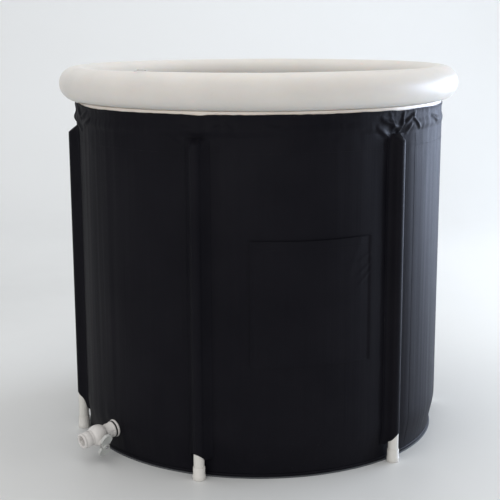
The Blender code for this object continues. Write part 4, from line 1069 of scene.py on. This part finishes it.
# Stage: a pale floor that runs up in a wide curve into a pale wall. The floor is painted paler towards the wall and
# to the right, and the wall palest: painted light standing in for the window's light that falls there.
floor_surface, tree, shader = new_surface("floor_surface", 0.42, Specular_IOR_Level=0.35)
position = tree.nodes.new("ShaderNodeTexCoord").outputs["Object"]
haze = noise_node(tree, position, 1.3, 4.0)
place = tree.nodes.new("ShaderNodeSeparateXYZ")
tree.links.new(position, place.inputs[0])
# Painted light: shares that grow towards the wall and to the right, where the window's light falls.
wall_painted_light = span_node(tree, place.outputs["Y"], 1.2, 3.3, 0.0, 1.0)
right_painted_light = span_node(tree, place.outputs["X"], 0.2, 0.7, 0.0, 0.75)
painted_light_share = math_node(tree, "MAXIMUM", wall_painted_light, right_painted_light)
floor_tone = mix_node(tree, span_node(tree, haze, 0.3, 0.7, 0.0, 1.0), (0.68, 0.685, 0.68), (0.74, 0.745, 0.74))
# The floor's own mottled tone, mixed towards a paler colour as painted window light.
tree.links.new(mix_node(tree, painted_light_share, floor_tone, (0.89, 0.895, 0.89)), shader.inputs["Base Color"])
bump(tree, shader, noise_node(tree, position, 35.0, 4.0), 0.04, 0.002)
shape = bmesh.new()
BEND_START, BEND_RADIUS = 2.3, 1.3
bends = [math.pi / 2 * i / 24 for i in range(1, 25)]
profile = [(-9.0, 0.0), (BEND_START, 0.0)]
profile += [(BEND_START + BEND_RADIUS * math.sin(a), BEND_RADIUS - BEND_RADIUS * math.cos(a)) for a in bends]
profile += [(BEND_START + BEND_RADIUS, 5.0)]
line = [shape.verts.new((-12.0, y, z)) for y, z in profile]
edges = [shape.edges.new(pair) for pair in zip(line, line[1:])]
swept = bmesh.ops.extrude_edge_only(shape, edges=edges)
far_side = [v for v in swept["geom"] if isinstance(v, bmesh.types.BMVert)]
bmesh.ops.translate(shape, vec=(24.0, 0, 0), verts=far_side)
mesh = bpy.data.meshes.new("studio_sweep")
shape.to_mesh(mesh)
shape.free()
mesh.shade_smooth()
mesh.materials.append(floor_surface)
sweep = bpy.data.objects.new("studio_sweep", mesh)
scene.collection.objects.link(sweep)
sweep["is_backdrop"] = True

# Light: a pale room, a wide soft light above, and a large cool window to the right and behind,
# with a glow beside it that lights nothing by diffuse light and adds only reflections, on every surface.
scene.view_settings.view_transform = "Standard"
world = bpy.data.worlds.new("room")
world.use_nodes = True
world.node_tree.nodes["Background"].inputs["Color"].default_value = (0.97, 0.98, 1.0, 1.0)
world.node_tree.nodes["Background"].inputs["Strength"].default_value = 0.64
scene.world = world


def area_light(name, place, aim, size, power, colour):
    lamp = bpy.data.lights.new(name, "AREA")
    lamp.shape = "RECTANGLE"
    lamp.size, lamp.size_y = size
    lamp.energy = power
    lamp.color = colour
    made = bpy.data.objects.new(name, lamp)
    scene.collection.objects.link(made)
    away = Vector(place) - Vector(aim)
    made.matrix_world = Matrix.Translation(place) @ away.to_track_quat("Z", "Y").to_matrix().to_4x4()
    return made


area_light("window", (2.8, 1.15, 0.70), (0.0, 0.0, 0.35), (2.5, 1.2), 78.0, (0.74, 0.85, 1.0))
area_light("ceiling", (0.0, 0.2, 3.0), (0.0, 0.0, 0.0), (3.0, 3.0), 34.0, (1.0, 0.98, 0.94))
area_light("fill", (-1.3, -3.1, 1.15), (0.0, 0.0, 0.5), (3.2, 2.0), 24.0, (1.0, 0.97, 0.93))
glow = area_light("window_glow", (2.7, 1.25, 0.60), (0.0, 0.0, 0.35), (2.6, 1.2), 62.0, (0.56, 0.66, 1.0))
glow.visible_diffuse = glow.visible_transmission = False

low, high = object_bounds()
